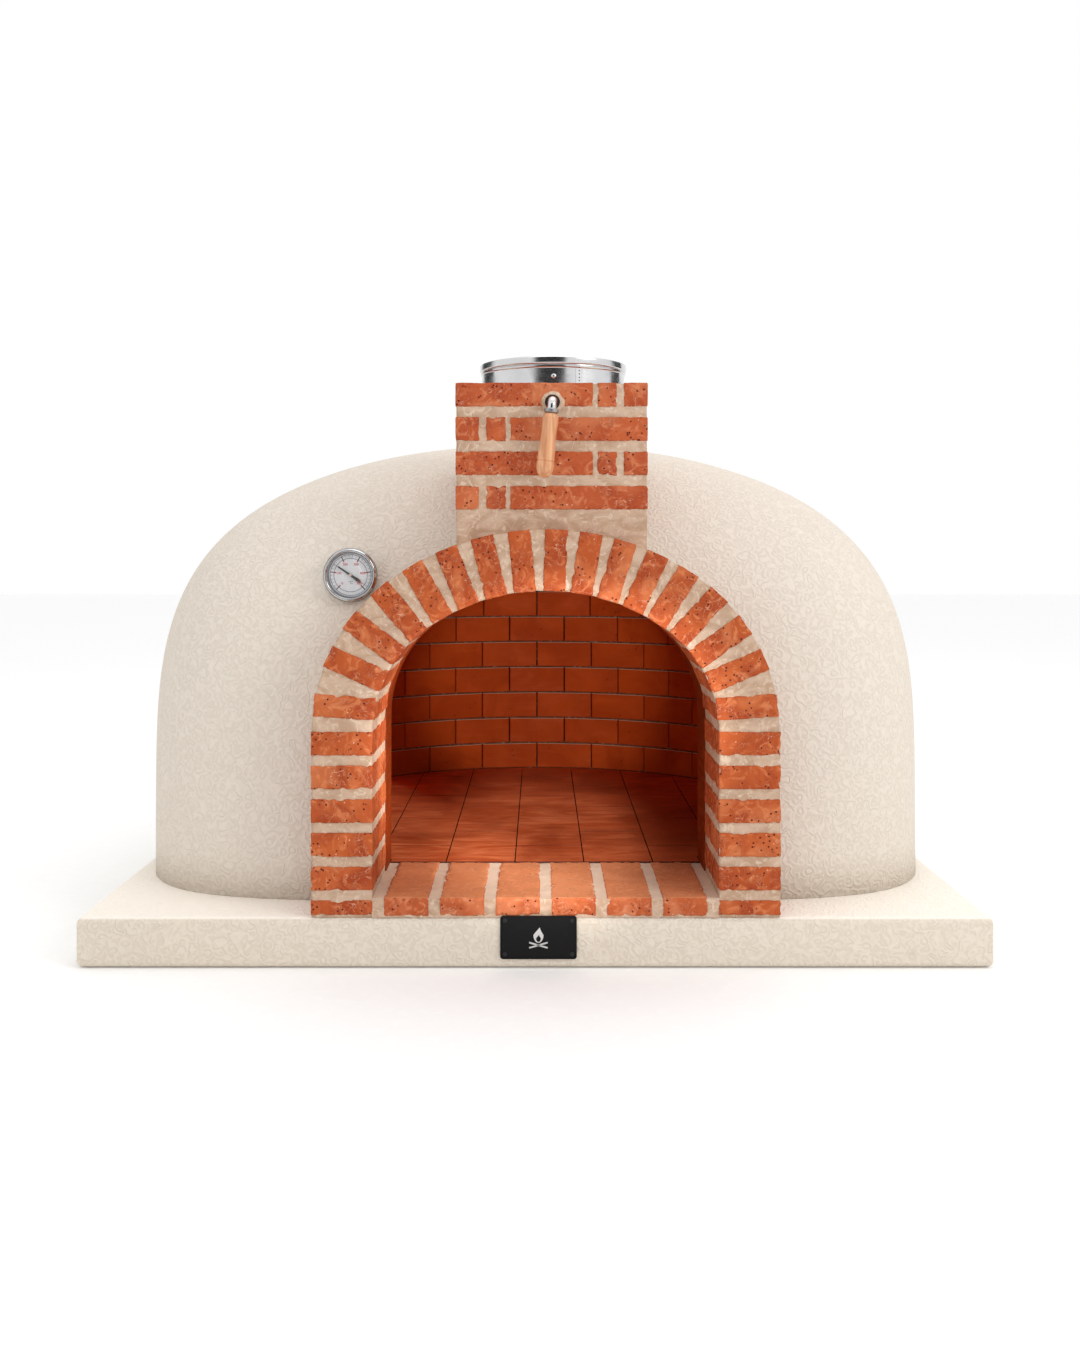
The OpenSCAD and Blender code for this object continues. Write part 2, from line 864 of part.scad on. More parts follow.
module damper_spindle() {
  color("#c3c5c7")
    difference() {
      union() {
        translate([spindle_x, spindle_tip + elbow_r, spindle_z])
          rotate([-90, 0, 0])
            cylinder(r = spindle_r, h = flue_y + flue_r + 20 - spindle_tip - elbow_r);
        at_handle() {
          translate([0, -elbow_r, elbow_r])
            rotate([0, 90, 0])
              rotate_extrude(angle = 90)
                translate([elbow_r, 0])
                  circle(r = spindle_r);
          translate([0, 0, elbow_r])
            cylinder(r = spindle_r, h = handle_top - ferrule_l - elbow_r);
          translate([0, 0, elbow_r])
            cylinder(r = tang_r, h = handle_top + 40 - elbow_r);
        }
      }
      damper_screw_shanks(screw_r + 0.05);
    }
}

module handle_ferrule() {
  color("#dcdedf")
    at_handle()
      translate([0, 0, handle_top - ferrule_l])
        difference() {
          rotate_extrude()
            polygon([[0, 0], [8, 0], [9.5, 1.5], [9.5, ferrule_l - 1], [8.5, ferrule_l],
                     [0, ferrule_l]]);
          translate([0, 0, -1])
            cylinder(r = tang_r + tang_fit, h = 10);
        }
}

// Turned wooden handle with a waist, a groove and a rounded end
module damper_handle() {
  r = 10.6;
  neck = 3;
  groove = 0.75 * handle_l;
  color("#dda883")
    at_handle()
      translate([0, 0, handle_top])
        difference() {
          rotate_extrude($fn = 48)
            polygon(concat(
              [[0, 0], [r - 2, 0], [r - 0.6, 0.8], [r, neck]],
              [for (k = [1 : 9])
                let (t = k / 9)
                [r - 1.1 * sin(180 * t) + t, neck + t * (groove - neck - 1)]],
              [[r + 0.2, groove], [r + 1.2, groove + 1.2]],
              [for (k = [1 : 8])
                let (a = 90 * k / 8)
                [(r + 1.2) * cos(a), groove + 5 + (handle_l - groove - 5) * sin(a)]]));
          translate([0, 0, -1])
            cylinder(r = tang_r + tang_fit, h = 41.5);
        }
}

// ---- Thermometer ----

// Places its children on the gauge's axis, y_in behind its front, with +Z out of the dial
module at_gauge(y_in) {
  translate([gauge_x, gauge_y + y_in, gauge_z])
    rotate([90, 0, 0])
      children();
}

module gauge_case() {
  color("#b9bbbd")
    at_gauge(gauge_d)
      difference() {
        cylinder(r = gauge_r - 1.5, h = gauge_d - 5);
        translate([0, 0, 2])
          cylinder(r = gauge_r - 3, h = gauge_d);
        translate([0, 0, -1])
          cylinder(r = 5, h = 5);
      }
}

module gauge_bezel() {
  r = gauge_r;
  color("#d9dbdc")
    at_gauge(5)
      rotate_extrude($fn = 96)
        polygon([[r - 6, 2], [r - 4.4, 0], [r - 1, 0], [r, 1], [r, 3.6], [r - 1.6, 5],
                 [r - 3.2, 5], [r - 6, 3.2]]);
}

module gauge_glass() {
  color("#dfeef4", 0.4)
    at_gauge(3)
      cylinder(r = gauge_r - 6, h = 1.2, $fn = 96);
}

module gauge_dial() {
  color("white")
    at_gauge(11)
      difference() {
        cylinder(r = gauge_r - 3, h = 1, $fn = 96);
        translate([0, 0, -1])
          cylinder(r = 1.5, h = 3);
      }
}

module gauge_pointer() {
  color("#b3261e")
    at_gauge(8.4) {
      cylinder(r = 3, h = 1.2);
      translate([0, 0, -5])
        cylinder(r = 1.1, h = 5);
      rotate([0, 0, pointer_deg])
        linear_extrude(0.8)
          polygon([[-9, -1.2], [23, -0.5], [25, 0], [23, 0.5], [-9, 1.2]]);
    }
}

module gauge_stem() {
  color("#a9abad")
    at_gauge(gauge_d) {
      translate([0, 0, -5])
        cylinder(r = 8.8, h = 5, $fn = 6);
      translate([0, 0, -1])
        cylinder(r = 4.9, h = 4);
      translate([0, 0, -226])
        cylinder(r = 3, h = 226);
    }
}

module gauge_sleeve() {
  color("#8d8f91")
    at_gauge(gauge_d + 205)
      difference() {
        cylinder(r = sleeve_r, h = 200);
        translate([0, 0, -1])
          cylinder(r = 6.5, h = 210);
      }
}

// ---- Plaque ----

// Places its children on the slab's front at the plaque, with +Z out of the slab
module at_plaque() {
  translate([plaque_x, front_y, plaque_z])
    rotate([90, 0, 0])
      children();
}

module plaque_holes(r) {
  for (sx = [-1, 1], sy = [-1, 1])
    translate([sx * (plaque_w / 2 - plaque_inset), sy * (plaque_h / 2 - plaque_inset), 0])
      cylinder(r = r, h = 20, center = true);
}

// Rounded rectangle made of true circles and squares
module rounded_outline(w, h, r) {
  square([w - 2 * r, h], center = true);
  square([w, h - 2 * r], center = true);
  for (sx = [-1, 1], sy = [-1, 1])
    translate([sx * (w / 2 - r), sy * (h / 2 - r)])
      circle(r = r);
}

module plaque() {
  color("#202020")
    at_plaque()
      difference() {
        linear_extrude(3)
          rounded_outline(plaque_w, plaque_h, 4);
        translate([0, 0, 2.2])
          linear_extrude(5)
            rounded_outline(plaque_w - 3, plaque_h - 3, 2.6);
        plaque_holes(1.9);
      }
}

// Flame outline made of two round lobes and a point
module flame(size) {
  circle(r = size);
  translate([0, size * 0.55])
    rotate(45)
      square(size * 1.15, center = true);
  translate([-size * 0.42, size * 0.95])
    rotate(20)
      polygon([[-size * 0.45, 0], [size * 0.45, 0], [size * 0.1, size * 0.9]]);
}

module plaque_emblem() {
  color("#d8d8d6")
    at_plaque()
      translate([0, -4, 2.2])
        linear_extrude(0.6)
          difference() {
            flame(10);
            translate([0, -3.5])
              flame(4.5);
          }
}

module plaque_screws() {
  color("#2b2b2b")
    at_plaque()
      for (sx = [-1, 1], sy = [-1, 1])
        translate([sx * (plaque_w / 2 - plaque_inset), sy * (plaque_h / 2 - plaque_inset), 0])
          difference() {
            union() {
              cylinder(r = 1.8, h = 2.2);
              translate([0, 0, 2.2])
                cylinder(r1 = 2.9, r2 = 2.2, h = 0.7);
            }
            translate([-0.4, -3, 2.5])
              cube([0.8, 6, 2]);
          }
}

base_slab();
hearth_board();
hearth_bedding();
hearth_tiles_a();
hearth_tiles_b();
threshold_bricks();
threshold_mortar();
arch_leg_left();
arch_leg_right();
arch_bricks_left();
arch_bricks_right();
arch_crown_bricks();
arch_keystone();
arch_mortar();
throat_left();
throat_right();
throat_crown();
dome_footing();
dome_course_1();
dome_course_2();
dome_course_3();
dome_course_4();
dome_course_5();
dome_course_6();
dome_course_7();
dome_beds();
crown_course_1();
crown_course_2();
crown_course_3();
crown_course_4();
crown_course_5();
crown_plug();
insulation_blanket();
outer_render();
chimney_course_1();
chimney_course_2();
chimney_course_3();
chimney_course_4();
chimney_mortar();
flue_pipe();
flue_collar();
flue_rim();
flue_rivets();
damper_bush();
damper_plate();
damper_spindle();
damper_screws();
handle_ferrule();
damper_handle();
gauge_case();
gauge_bezel();
gauge_glass();
gauge_dial();
gauge_pointer();
gauge_stem();
gauge_sleeve();
plaque();
plaque_emblem();
plaque_screws();
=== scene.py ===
import json
import math
import random

import bmesh
import bpy
import numpy as np
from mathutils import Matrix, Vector, noise


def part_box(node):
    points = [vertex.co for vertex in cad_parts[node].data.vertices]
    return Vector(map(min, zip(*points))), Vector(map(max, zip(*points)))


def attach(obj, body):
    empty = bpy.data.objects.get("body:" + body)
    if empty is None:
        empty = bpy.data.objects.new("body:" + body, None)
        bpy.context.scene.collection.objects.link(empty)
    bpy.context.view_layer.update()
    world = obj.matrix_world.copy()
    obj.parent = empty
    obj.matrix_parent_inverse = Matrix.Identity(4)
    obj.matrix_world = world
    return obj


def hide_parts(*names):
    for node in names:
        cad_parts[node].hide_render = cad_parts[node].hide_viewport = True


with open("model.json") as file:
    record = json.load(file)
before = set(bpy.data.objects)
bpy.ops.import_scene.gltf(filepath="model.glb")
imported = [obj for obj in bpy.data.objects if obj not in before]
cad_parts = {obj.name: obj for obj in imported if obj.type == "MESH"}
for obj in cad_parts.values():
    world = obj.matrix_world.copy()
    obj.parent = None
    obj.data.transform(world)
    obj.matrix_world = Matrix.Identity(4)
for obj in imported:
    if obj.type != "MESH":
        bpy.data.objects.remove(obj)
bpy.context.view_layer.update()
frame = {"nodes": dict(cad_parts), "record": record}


# ---- Sizes that the pieces share, in metres, worked out from the frame ----

SLAB_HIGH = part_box("base_slab")[1]
LEG_LOW, LEG_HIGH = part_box("arch_leg_left")
RIGHT_LOW, RIGHT_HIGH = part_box("arch_leg_right")
DOME_LOW, DOME_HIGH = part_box("outer_render")
STACK_LOW, STACK_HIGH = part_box("chimney_course_1")
RIM_LOW, RIM_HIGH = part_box("flue_rim")
BEZEL_LOW, BEZEL_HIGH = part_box("gauge_bezel")
DIAL_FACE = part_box("gauge_dial")[0].y
PLAQUE_LOW, PLAQUE_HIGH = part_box("plaque")
HANDLE_LOW, HANDLE_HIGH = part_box("damper_handle")
CROWN_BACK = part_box("arch_crown_bricks")[1].y

SLAB_TOP = SLAB_HIGH.z
FRONT = LEG_LOW.y
ARCH_X = (LEG_LOW.x + RIGHT_HIGH.x) / 2
RING = LEG_HIGH.x - LEG_LOW.x
MOUTH_HALF = (RIGHT_LOW.x - LEG_HIGH.x) / 2
SPRING_Z = 0.305
SIDE_R = 0.170
CROWN_R = 0.269
SIDE_X = MOUTH_HALF - SIDE_R
CROWN_Z = SPRING_Z - math.sqrt((CROWN_R - SIDE_R) ** 2 - SIDE_X ** 2)
SWITCH = math.atan2(SPRING_Z - CROWN_Z, SIDE_X)
LEG_LEN = SPRING_Z - SLAB_TOP
SIDE_LEN = SIDE_R * SWITCH
CROWN_LEN = 2 * CROWN_R * (math.pi / 2 - SWITCH)
ARCH_LEN = 2 * (LEG_LEN + SIDE_LEN) + CROWN_LEN

DOME_Y = -0.010
DOME_A = (DOME_HIGH.x - DOME_LOW.x) / 2
DOME_FRONT = 0.509
DOME_BACK = DOME_HIGH.y - DOME_Y
DOME_H = DOME_HIGH.z - SLAB_TOP
DOME_P = 4.7
DOME_Q = 1.88
PLAN_FRONT = 4.8
PLAN_BACK = 2.2
RENDER_T = 0.015

FLUE_X = (RIM_LOW.x + RIM_HIGH.x) / 2
FLUE_Y = (RIM_LOW.y + RIM_HIGH.y) / 2
FLUE_R = 0.1015
STACK_X = (STACK_LOW.x + STACK_HIGH.x) / 2
STACK_Y = (STACK_LOW.y + STACK_HIGH.y) / 2
STACK_W = STACK_HIGH.x - STACK_LOW.x

GAUGE_X = (BEZEL_LOW.x + BEZEL_HIGH.x) / 2
GAUGE_Z = (BEZEL_LOW.z + BEZEL_HIGH.z) / 2
GAUGE_R = (BEZEL_HIGH.x - BEZEL_LOW.x) / 2

BRICK_STEP = 0.0026
BRICK_WEAR = 0.0042
BRICK_LUMP = 0.0006
CRISP_EDGE = 0.0012
ARCH_DEPTH = 0.149
MORTAR_SUNK = 0.0022
CROWN_OVERLAP = 0.035

FLOOR_HALF = 14
SPOT_SOURCE = 0.05
CARD_AWAY = 3.4
CAMERA_AWAY = 1.700
CAMERA_HEIGHT = 0.5455
CAMERA_X = 0.0065
CAMERA_LENS = 34.69
CAMERA_SHIFT = -0.0918519


# ---- Finishes ----

def colour(red, green, blue):
    """A display colour, 0 to 255 a channel, as the linear colour that the shaders use."""
    linear = []
    for value in (red, green, blue):
        share = value / 255
        linear.append(share / 12.92 if share <= 0.04045 else ((share + 0.055) / 1.055) ** 2.4)
    return (*linear, 1.0)


class Wire:
    """An output of a node. Arithmetic on it adds Math nodes to the same finish."""

    def __init__(self, finish, socket):
        self.finish = finish
        self.socket = socket

    def math(self, operation, *values):
        return self.finish.add("ShaderNodeMath", {"operation": operation}, *values)

    def __add__(self, other):
        return self.math("ADD", self, other)

    def __radd__(self, other):
        return self.math("ADD", other, self)

    def __sub__(self, other):
        return self.math("SUBTRACT", self, other)

    def __rsub__(self, other):
        return self.math("SUBTRACT", other, self)

    def __mul__(self, other):
        return self.math("MULTIPLY", self, other)

    def __rmul__(self, other):
        return self.math("MULTIPLY", other, self)

    def __abs__(self):
        return self.math("ABSOLUTE", self)

    def sine(self):
        return self.math("SINE", self)


class Finish:
    """A material: a Principled surface, and the nodes that vary it."""

    def __init__(self, name, **surface):
        self.material = bpy.data.materials.new(name)
        self.material.use_nodes = True
        self.tree = self.material.node_tree
        self.surface = self.tree.nodes["Principled BSDF"]
        for socket, value in surface.items():
            self.surface.inputs[socket.replace("_", " ")].default_value = value

    def add(self, kind, settings=None, *values, out=0, **named):
        """Adds a node: its settings first, then its inputs in order or by name."""
        node = self.tree.nodes.new(kind)
        for key, value in (settings or {}).items():
            setattr(node, key, value)
        places = list(enumerate(values)) + [(key.replace("_", " "), value) for key, value in named.items()]
        for place, value in places:
            self.join(value, node.inputs[place])
        return Wire(self, node.outputs[out])

    def join(self, value, socket):
        if isinstance(value, Wire):
            self.tree.links.new(value.socket, socket)
        elif value is not None:
            socket.default_value = value

    def give(self, **sockets):
        """Feeds the surface's own sockets."""
        for name, value in sockets.items():
            self.join(value, self.surface.inputs[name.replace("_", " ")])
        return self.material

    def place(self):
        """Position on the piece, moved by its brick's own tone so that no two bricks match."""
        spot = self.add("ShaderNodeTexCoord", None, out="Object")
        tone = self.tone()
        shift = self.add("ShaderNodeCombineXYZ", None, tone * 7.3, tone * 3.1, tone * 5.7)
        return self.add("ShaderNodeVectorMath", {"operation": "ADD"}, spot, shift)

    def tone(self):
        return self.add("ShaderNodeAttribute", {"attribute_name": "tone"}, out="Fac")

    def spot(self):
        return self.add("ShaderNodeTexCoord", None, out="Object")

    def facing_up(self):
        """1 where the surface faces straight up, 0 where it is upright, -1 where it faces down."""
        normal = self.add("ShaderNodeNewGeometry", None, out="Normal")
        return self.add("ShaderNodeSeparateXYZ", None, normal, out="Z")

    def stretch(self, spot, across, along, up):
        return self.add("ShaderNodeVectorMath", {"operation": "MULTIPLY"}, spot, (across, along, up))

    def noise(self, spot, scale, detail=2.0, rough=0.5, bend=0.0):
        return self.add("ShaderNodeTexNoise", None, Vector=spot, Scale=scale, Detail=detail,
                        Roughness=rough, Distortion=bend)

    def cells(self, spot, scale):
        return self.add("ShaderNodeTexVoronoi", None, Vector=spot, Scale=scale)

    def fade(self, value, low, high, start=0.0, end=1.0):
        """A smooth step from start to end as the value goes from low to high."""
        return self.add("ShaderNodeMapRange", {"interpolation_type": "SMOOTHSTEP"}, value, low, high,
                        start, end)

    def blend(self, share, first, second):
        node = self.add("ShaderNodeMix", {"data_type": "RGBA", "blend_type": "MIX"}, share, out=2)
        inputs = node.socket.node.inputs
        self.join(first, inputs[6])
        self.join(second, inputs[7])
        return node

    def bump(self, height, depth, strength):
        return self.add("ShaderNodeBump", None, Height=height, Distance=depth, Strength=strength)


def brick_finish(name, base, deep, pale, dust_and_painted_sheen=0.0):
    """Pitted orange brick: cloudy patches, pale curls and flecks, dark holes, and painted sheen that makes
    faces looking up paler by a given share.
    """
    f = Finish(name, Roughness=0.78, Specular_IOR_Level=0.25)
    at = f.place()
    cloud = f.noise(at, 17, 3, 0.55, 1.2)
    curl = f.noise(at, 46, 3, 0.6, 2.2)
    skin = f.blend(f.fade(cloud, 0.36, 0.66), base, deep)
    skin = f.blend(f.fade(f.tone(), 0.0, 1.0, 0.0, 0.45), skin, deep)
    skin = f.blend(f.fade(curl, 0.48, 0.72, 0.0, 0.75), skin, pale)
    skin = f.blend(f.fade(f.noise(at, 11, 2, 0.5, 1.0), 0.52, 0.68, 0.0, 0.45), skin, pale)
    ridge = f.noise(at, 30, 2, 0.5, 3.0)
    worm = f.fade(abs(ridge - 0.5), 0.0, 0.013, 1.0, 0.0) * f.fade(cloud, 0.45, 0.6)
    skin = f.blend(worm * 0.5, skin, colour(236, 188, 158))
    some = f.fade(f.noise(at, 40, 1), 0.46, 0.52)
    hole = f.fade(f.cells(at, 150), 0.14, 0.24, 1.0, 0.0) * some
    skin = f.blend(hole, skin, colour(84, 20, 8))
    fleck = f.fade(f.cells(at, 105), 0.06, 0.12, 1.0, 0.0) * f.fade(cloud, 0.40, 0.46, 1.0, 0.0)
    skin = f.blend(fleck * 0.8, skin, colour(240, 206, 182))
    # Painted sheen: faces that look up are blended towards a pale orange by the given share, standing in for
    # the light they catch.
    skin = f.blend(f.fade(f.facing_up(), 0.6, 0.95, 0.0, dust_and_painted_sheen), skin, colour(240, 164, 114))
    grain = f.noise(at, 420, 2)
    height = curl * 0.35 + grain * 0.12 + worm * 0.25 - hole * 0.8
    return f.give(Base_Color=skin, Roughness=f.fade(curl, 0.3, 0.7, 0.84, 0.66),
                  Normal=f.bump(height, 0.0016, 0.7))


def mortar_finish(name, base, pale, dark):
    """Trowelled mortar: soft smears, a few pits and a sandy grain, and painted light that makes faces paler
    where they look up.
    """
    f = Finish(name, Roughness=0.9, Specular_IOR_Level=0.2)
    at = f.spot()
    smear = f.noise(f.stretch(at, 1.0, 1.0, 1.7), 22, 3, 0.5, 1.6)
    skin = f.blend(f.fade(smear, 0.34, 0.66), dark, base)
    streak = f.noise(at, 60, 2, 0.5, 2.6)
    skin = f.blend(f.fade(streak, 0.52, 0.70, 0.0, 0.8), skin, pale)
    edge = f.fade(abs(f.noise(at, 26, 1, 0.5, 2.0) - 0.5), 0.0, 0.014, 1.0, 0.0)
    skin = f.blend(edge * 0.35, skin, colour(240, 222, 204))
    grain = f.noise(at, 600, 2)
    skin = f.blend(f.fade(grain, 0.35, 0.65, 0.0, 0.10), skin, dark)
    # Painted light: faces that look up are blended towards a pale colour, standing in for the light that
    # falls on them.
    skin = f.blend(f.fade(f.facing_up(), 0.6, 0.95, 0.0, 0.75), skin, colour(236, 212, 188))
    height = smear * 0.5 + streak * 0.25 + grain * 0.10 - edge * 0.2
    return f.give(Base_Color=skin, Normal=f.bump(height, 0.002, 0.8))


def render_finish(name, base, warm, light, painted_top_light=0.0):
    """Cream cement render with a fine relief left by the float; its crests carry painted highlight and its
    hollows painted shade, and painted light makes it paler where it faces up.
    """
    f = Finish(name, Roughness=0.88, Specular_IOR_Level=0.25)
    at = f.spot()
    drift = f.add("ShaderNodeTexNoise", None, out="Color", Vector=at, Scale=70.0, Detail=1.0)
    drift = f.add("ShaderNodeVectorMath", {"operation": "SCALE"}, drift, Scale=0.011)
    warped = f.add("ShaderNodeVectorMath", {"operation": "ADD"}, at, drift)
    rings = (f.cells(warped, 72) * 15).sine()
    curls = (f.noise(at, 78, 0, 0.5, 0.6) * 21).sine()
    where = f.fade(f.noise(at, 50, 1), 0.44, 0.56)
    relief = rings * where + curls * (1 - where)
    broad = f.noise(at, 3.2, 3, 0.5, 0.4)
    skin = f.blend(f.fade(broad, 0.35, 0.65), base, warm)
    # Painted highlight on the relief's crests and painted shade in its hollows: the colour follows the
    # relief's height.
    skin = f.blend(f.fade(relief, 0.2, 1.0, 0.0, 0.26), skin, light)
    skin = f.blend(f.fade(relief, -1.0, -0.3, 0.14, 0.0), skin, colour(176, 160, 140))
    # Painted light: faces that look up are blended towards a near-white colour by the given share.
    skin = f.blend(f.fade(f.facing_up(), 0.6, 0.95, 0.0, painted_top_light), skin, colour(250, 243, 233))
    grain = f.noise(at, 700, 2)
    return f.give(Base_Color=skin, Normal=f.bump(relief + grain * 0.4, 0.00040, 0.8))


def fired_brick_finish(name, base, deep, glow):
    """Smooth dark refractory brick inside the chamber, a little smoky and streaked; mortar smeared on top."""
    f = Finish(name, Roughness=0.7, Specular_IOR_Level=0.06)
    at = f.place()
    cloud = f.noise(at, 9, 4, 0.6, 0.8)
    streak = f.noise(f.stretch(at, 1.0, 1.0, 5.0), 14, 3, 0.6, 1.0)
    skin = f.blend(f.fade(cloud, 0.35, 0.65), base, deep)
    skin = f.blend(f.fade(f.tone(), 0.0, 1.0, 0.0, 0.4), skin, deep)
    skin = f.blend(f.fade(streak, 0.50, 0.75, 0.0, 0.30), skin, glow)
    hole = f.fade(f.cells(at, 60), 0.05, 0.12, 1.0, 0.0) * f.fade(cloud, 0.5, 0.56)
    skin = f.blend(hole * 0.7, skin, colour(40, 14, 6))
    skin = f.blend(f.fade(f.facing_up(), 0.10, 0.20), skin, colour(196, 167, 144))
    height = cloud * 0.4 + f.noise(at, 300, 2) * 0.15 - hole * 0.5
    return f.give(Base_Color=skin, Roughness=f.fade(streak, 0.3, 0.7, 0.72, 0.5),
                  Normal=f.bump(height, 0.001, 0.6))


def hearth_finish(name):
    """Hearth tile, rubbed by the peel: long dark and rusty streaks from side to side, sooty joints."""
    f = Finish(name, Roughness=0.5, Specular_IOR_Level=0.2)
    at = f.spot()
    streak = f.noise(f.stretch(at, 1.0, 3.2, 1.0), 9, 4, 0.6, 1.4)
    cloud = f.noise(at, 5, 3, 0.55, 0.6)
    skin = f.blend(f.fade(streak, 0.35, 0.68), colour(192, 88, 46), colour(222, 122, 76))
    skin = f.blend(f.fade(cloud, 0.42, 0.70, 0.0, 0.8), skin, colour(156, 66, 32))
    pit = f.fade(f.cells(at, 70), 0.05, 0.12, 1.0, 0.0) * f.fade(cloud, 0.48, 0.54)
    skin = f.blend(pit * 0.8, skin, colour(50, 16, 8))
    skin = f.blend(f.fade(f.facing_up(), 0.3, 0.8, 1.0, 0.0), skin, colour(62, 22, 8))
    height = streak * 0.5 + f.noise(at, 260, 2) * 0.2 - pit * 0.6
    return f.give(Base_Color=skin, Roughness=f.fade(streak, 0.3, 0.7, 0.42, 0.62),
                  Normal=f.bump(height, 0.0008, 0.6))


def steel_finish(name, tint, rough, streaks=(1.0, 1.0, 40.0), depth=0.00006):
    """Metal with fine brushing along one way and soft smudges."""
    f = Finish(name, Metallic=1.0)
    at = f.spot()
    brush = f.noise(f.stretch(at, *streaks), 90, 3, 0.6)
    smudge = f.noise(at, 26, 3, 0.5, 0.6)
    skin = f.blend(f.fade(smudge, 0.4, 0.7, 0.0, 0.5), tint, tuple(0.82 * c for c in tint[:3]) + (1.0,))
    return f.give(Base_Color=skin, Roughness=f.fade(smudge + brush * 0.4, 0.4, 1.0, rough, rough * 2.2),
                  Normal=f.bump(brush, depth, 0.5))


def wood_finish(name):
    """Clear-varnished light hardwood, its grain along the handle."""
    f = Finish(name, Coat_Weight=0.5, Coat_Roughness=0.12, Specular_IOR_Level=0.4)
    at = f.spot()
    rings = f.noise(f.stretch(at, 1.0, 1.0, 0.12), 130, 3, 0.55, 0.8)
    pores = f.noise(f.stretch(at, 1.0, 1.0, 0.05), 900, 2, 0.5)
    skin = f.blend(f.fade(rings, 0.35, 0.65), colour(224, 166, 122), colour(194, 130, 86))
    skin = f.blend(f.fade(pores, 0.62, 0.75, 0.0, 0.5), skin, colour(160, 96, 58))
    return f.give(Base_Color=skin, Roughness=f.fade(rings, 0.3, 0.7, 0.30, 0.42),
                  Normal=f.bump(rings + pores * 0.4, 0.0002, 0.5))


def paint_finish(name, tone, rough=0.4, grain_scale=900, depth=0.00012, shine=0.45):
    """Paint or powder coat with a fine orange peel and a faint dusting."""
    f = Finish(name, Specular_IOR_Level=shine)
    at = f.spot()
    peel = f.noise(at, grain_scale, 2)
    dust_and_painted_sheen = f.noise(at, 60, 4, 0.6, 0.8)
    lighter = tuple(min(1.0, c * 1.35 + 0.004) for c in tone[:3]) + (1.0,)
    skin = f.blend(f.fade(dust_and_painted_sheen, 0.45, 0.75, 0.0, 0.6), tone, lighter)
    return f.give(Base_Color=skin, Roughness=f.fade(dust_and_painted_sheen, 0.3, 0.7, rough, rough * 1.35),
                  Normal=f.bump(peel, depth, 0.5))


def glass_finish(name):
    """Clear flat glass with faint wipe marks in its gloss."""
    f = Finish(name, Alpha=0.04, Specular_IOR_Level=0.8)
    wipe = f.noise(f.spot(), 120, 2, 0.5, 1.0)
    return f.give(Base_Color=f.blend(f.fade(wipe, 0.3, 0.7), colour(250, 253, 253), colour(238, 246, 250)),
                  Roughness=f.fade(wipe, 0.3, 0.7, 0.02, 0.07))


FINISHES = {
    "arch_brick": brick_finish("arch_brick", colour(184, 88, 41), colour(157, 63, 26), colour(212, 126, 78)),
    "chimney_brick": brick_finish("chimney_brick", colour(187, 92, 50), colour(162, 68, 34),
                                  colour(208, 128, 86)),
    # The threshold's top gets painted sheen at share 0.5.
    "threshold_brick": brick_finish("threshold_brick", colour(190, 96, 52), colour(167, 74, 35),
                                    colour(216, 138, 98), 0.5),
    "mortar": mortar_finish("mortar", colour(199, 171, 148), colour(216, 192, 170), colour(179, 148, 123)),
    "dome_render": render_finish("dome_render", colour(215, 205, 193), colour(217, 207, 194),
                                 colour(230, 222, 211)),
    # The slab's top gets painted light at share 0.85.
    "slab_render": render_finish("slab_render", colour(217, 206, 191), colour(219, 207, 191),
                                 colour(231, 222, 210), 0.85),
    "dome_brick": fired_brick_finish("dome_brick", colour(196, 82, 27), colour(176, 68, 20),
                                     colour(206, 94, 38)),
    # Painted shade: the throat's bricks get much darker colours than the chamber so that the strip behind the
    # arch reads as shadow.
    "throat_painted_shade": fired_brick_finish("throat_painted_shade", colour(128, 50, 17), colour(110, 41, 13),
                                       colour(140, 58, 23)),
    "hearth": hearth_finish("hearth"),
    "cast": mortar_finish("cast", colour(120, 70, 44), colour(136, 84, 56), colour(100, 56, 34)),
    "board": paint_finish("board", colour(226, 220, 206), 0.9, 300, 0.0006),
    "stainless": steel_finish("stainless", (0.68, 0.68, 0.69, 1.0), 0.13, (1.0, 1.0, 3.0), 0.000006),
    "plate_steel": steel_finish("plate_steel", (0.36, 0.35, 0.35, 1.0), 0.32),
    "steel": steel_finish("steel", (0.72, 0.72, 0.73, 1.0), 0.10, (1.0, 1.0, 1.0), 0.000006),
    "chrome": steel_finish("chrome", (0.56, 0.565, 0.57, 1.0), 0.07, (1.0, 1.0, 1.0), 0.000004),
    "black_iron": paint_finish("black_iron", colour(22, 22, 24), 0.45),
    "wood": wood_finish("wood"),
    "pin": steel_finish("pin", (0.80, 0.66, 0.56, 1.0), 0.25),
    "glass": glass_finish("glass"),
    "dial": paint_finish("dial", colour(214, 217, 221), 0.35, 1600, 0.00004),
    "print_dark": paint_finish("print_dark", colour(40, 37, 40), 0.5),
    # Grey for the dial's print, also used for the painted shadow band beside the bezel.
    "print_grey_and_painted_shadow": paint_finish("print_grey_and_painted_shadow", colour(118, 122, 130), 0.5),
    "print_red": paint_finish("print_red", colour(178, 30, 24), 0.5),
    "pointer_black": paint_finish("pointer_black", colour(12, 10, 10), 0.5, shine=0.2),
    "pointer_tail": paint_finish("pointer_tail", colour(96, 34, 20), 0.4),
    "plaque_black": paint_finish("plaque_black", colour(14, 14, 15), 0.55, 1400, 0.00008, 0.2),
    "emblem": steel_finish("emblem", (0.78, 0.78, 0.77, 1.0), 0.25),
    "floor": paint_finish("floor", colour(250, 250, 250), 0.8, 200, 0.0001),
}


# ---- Making pieces ----

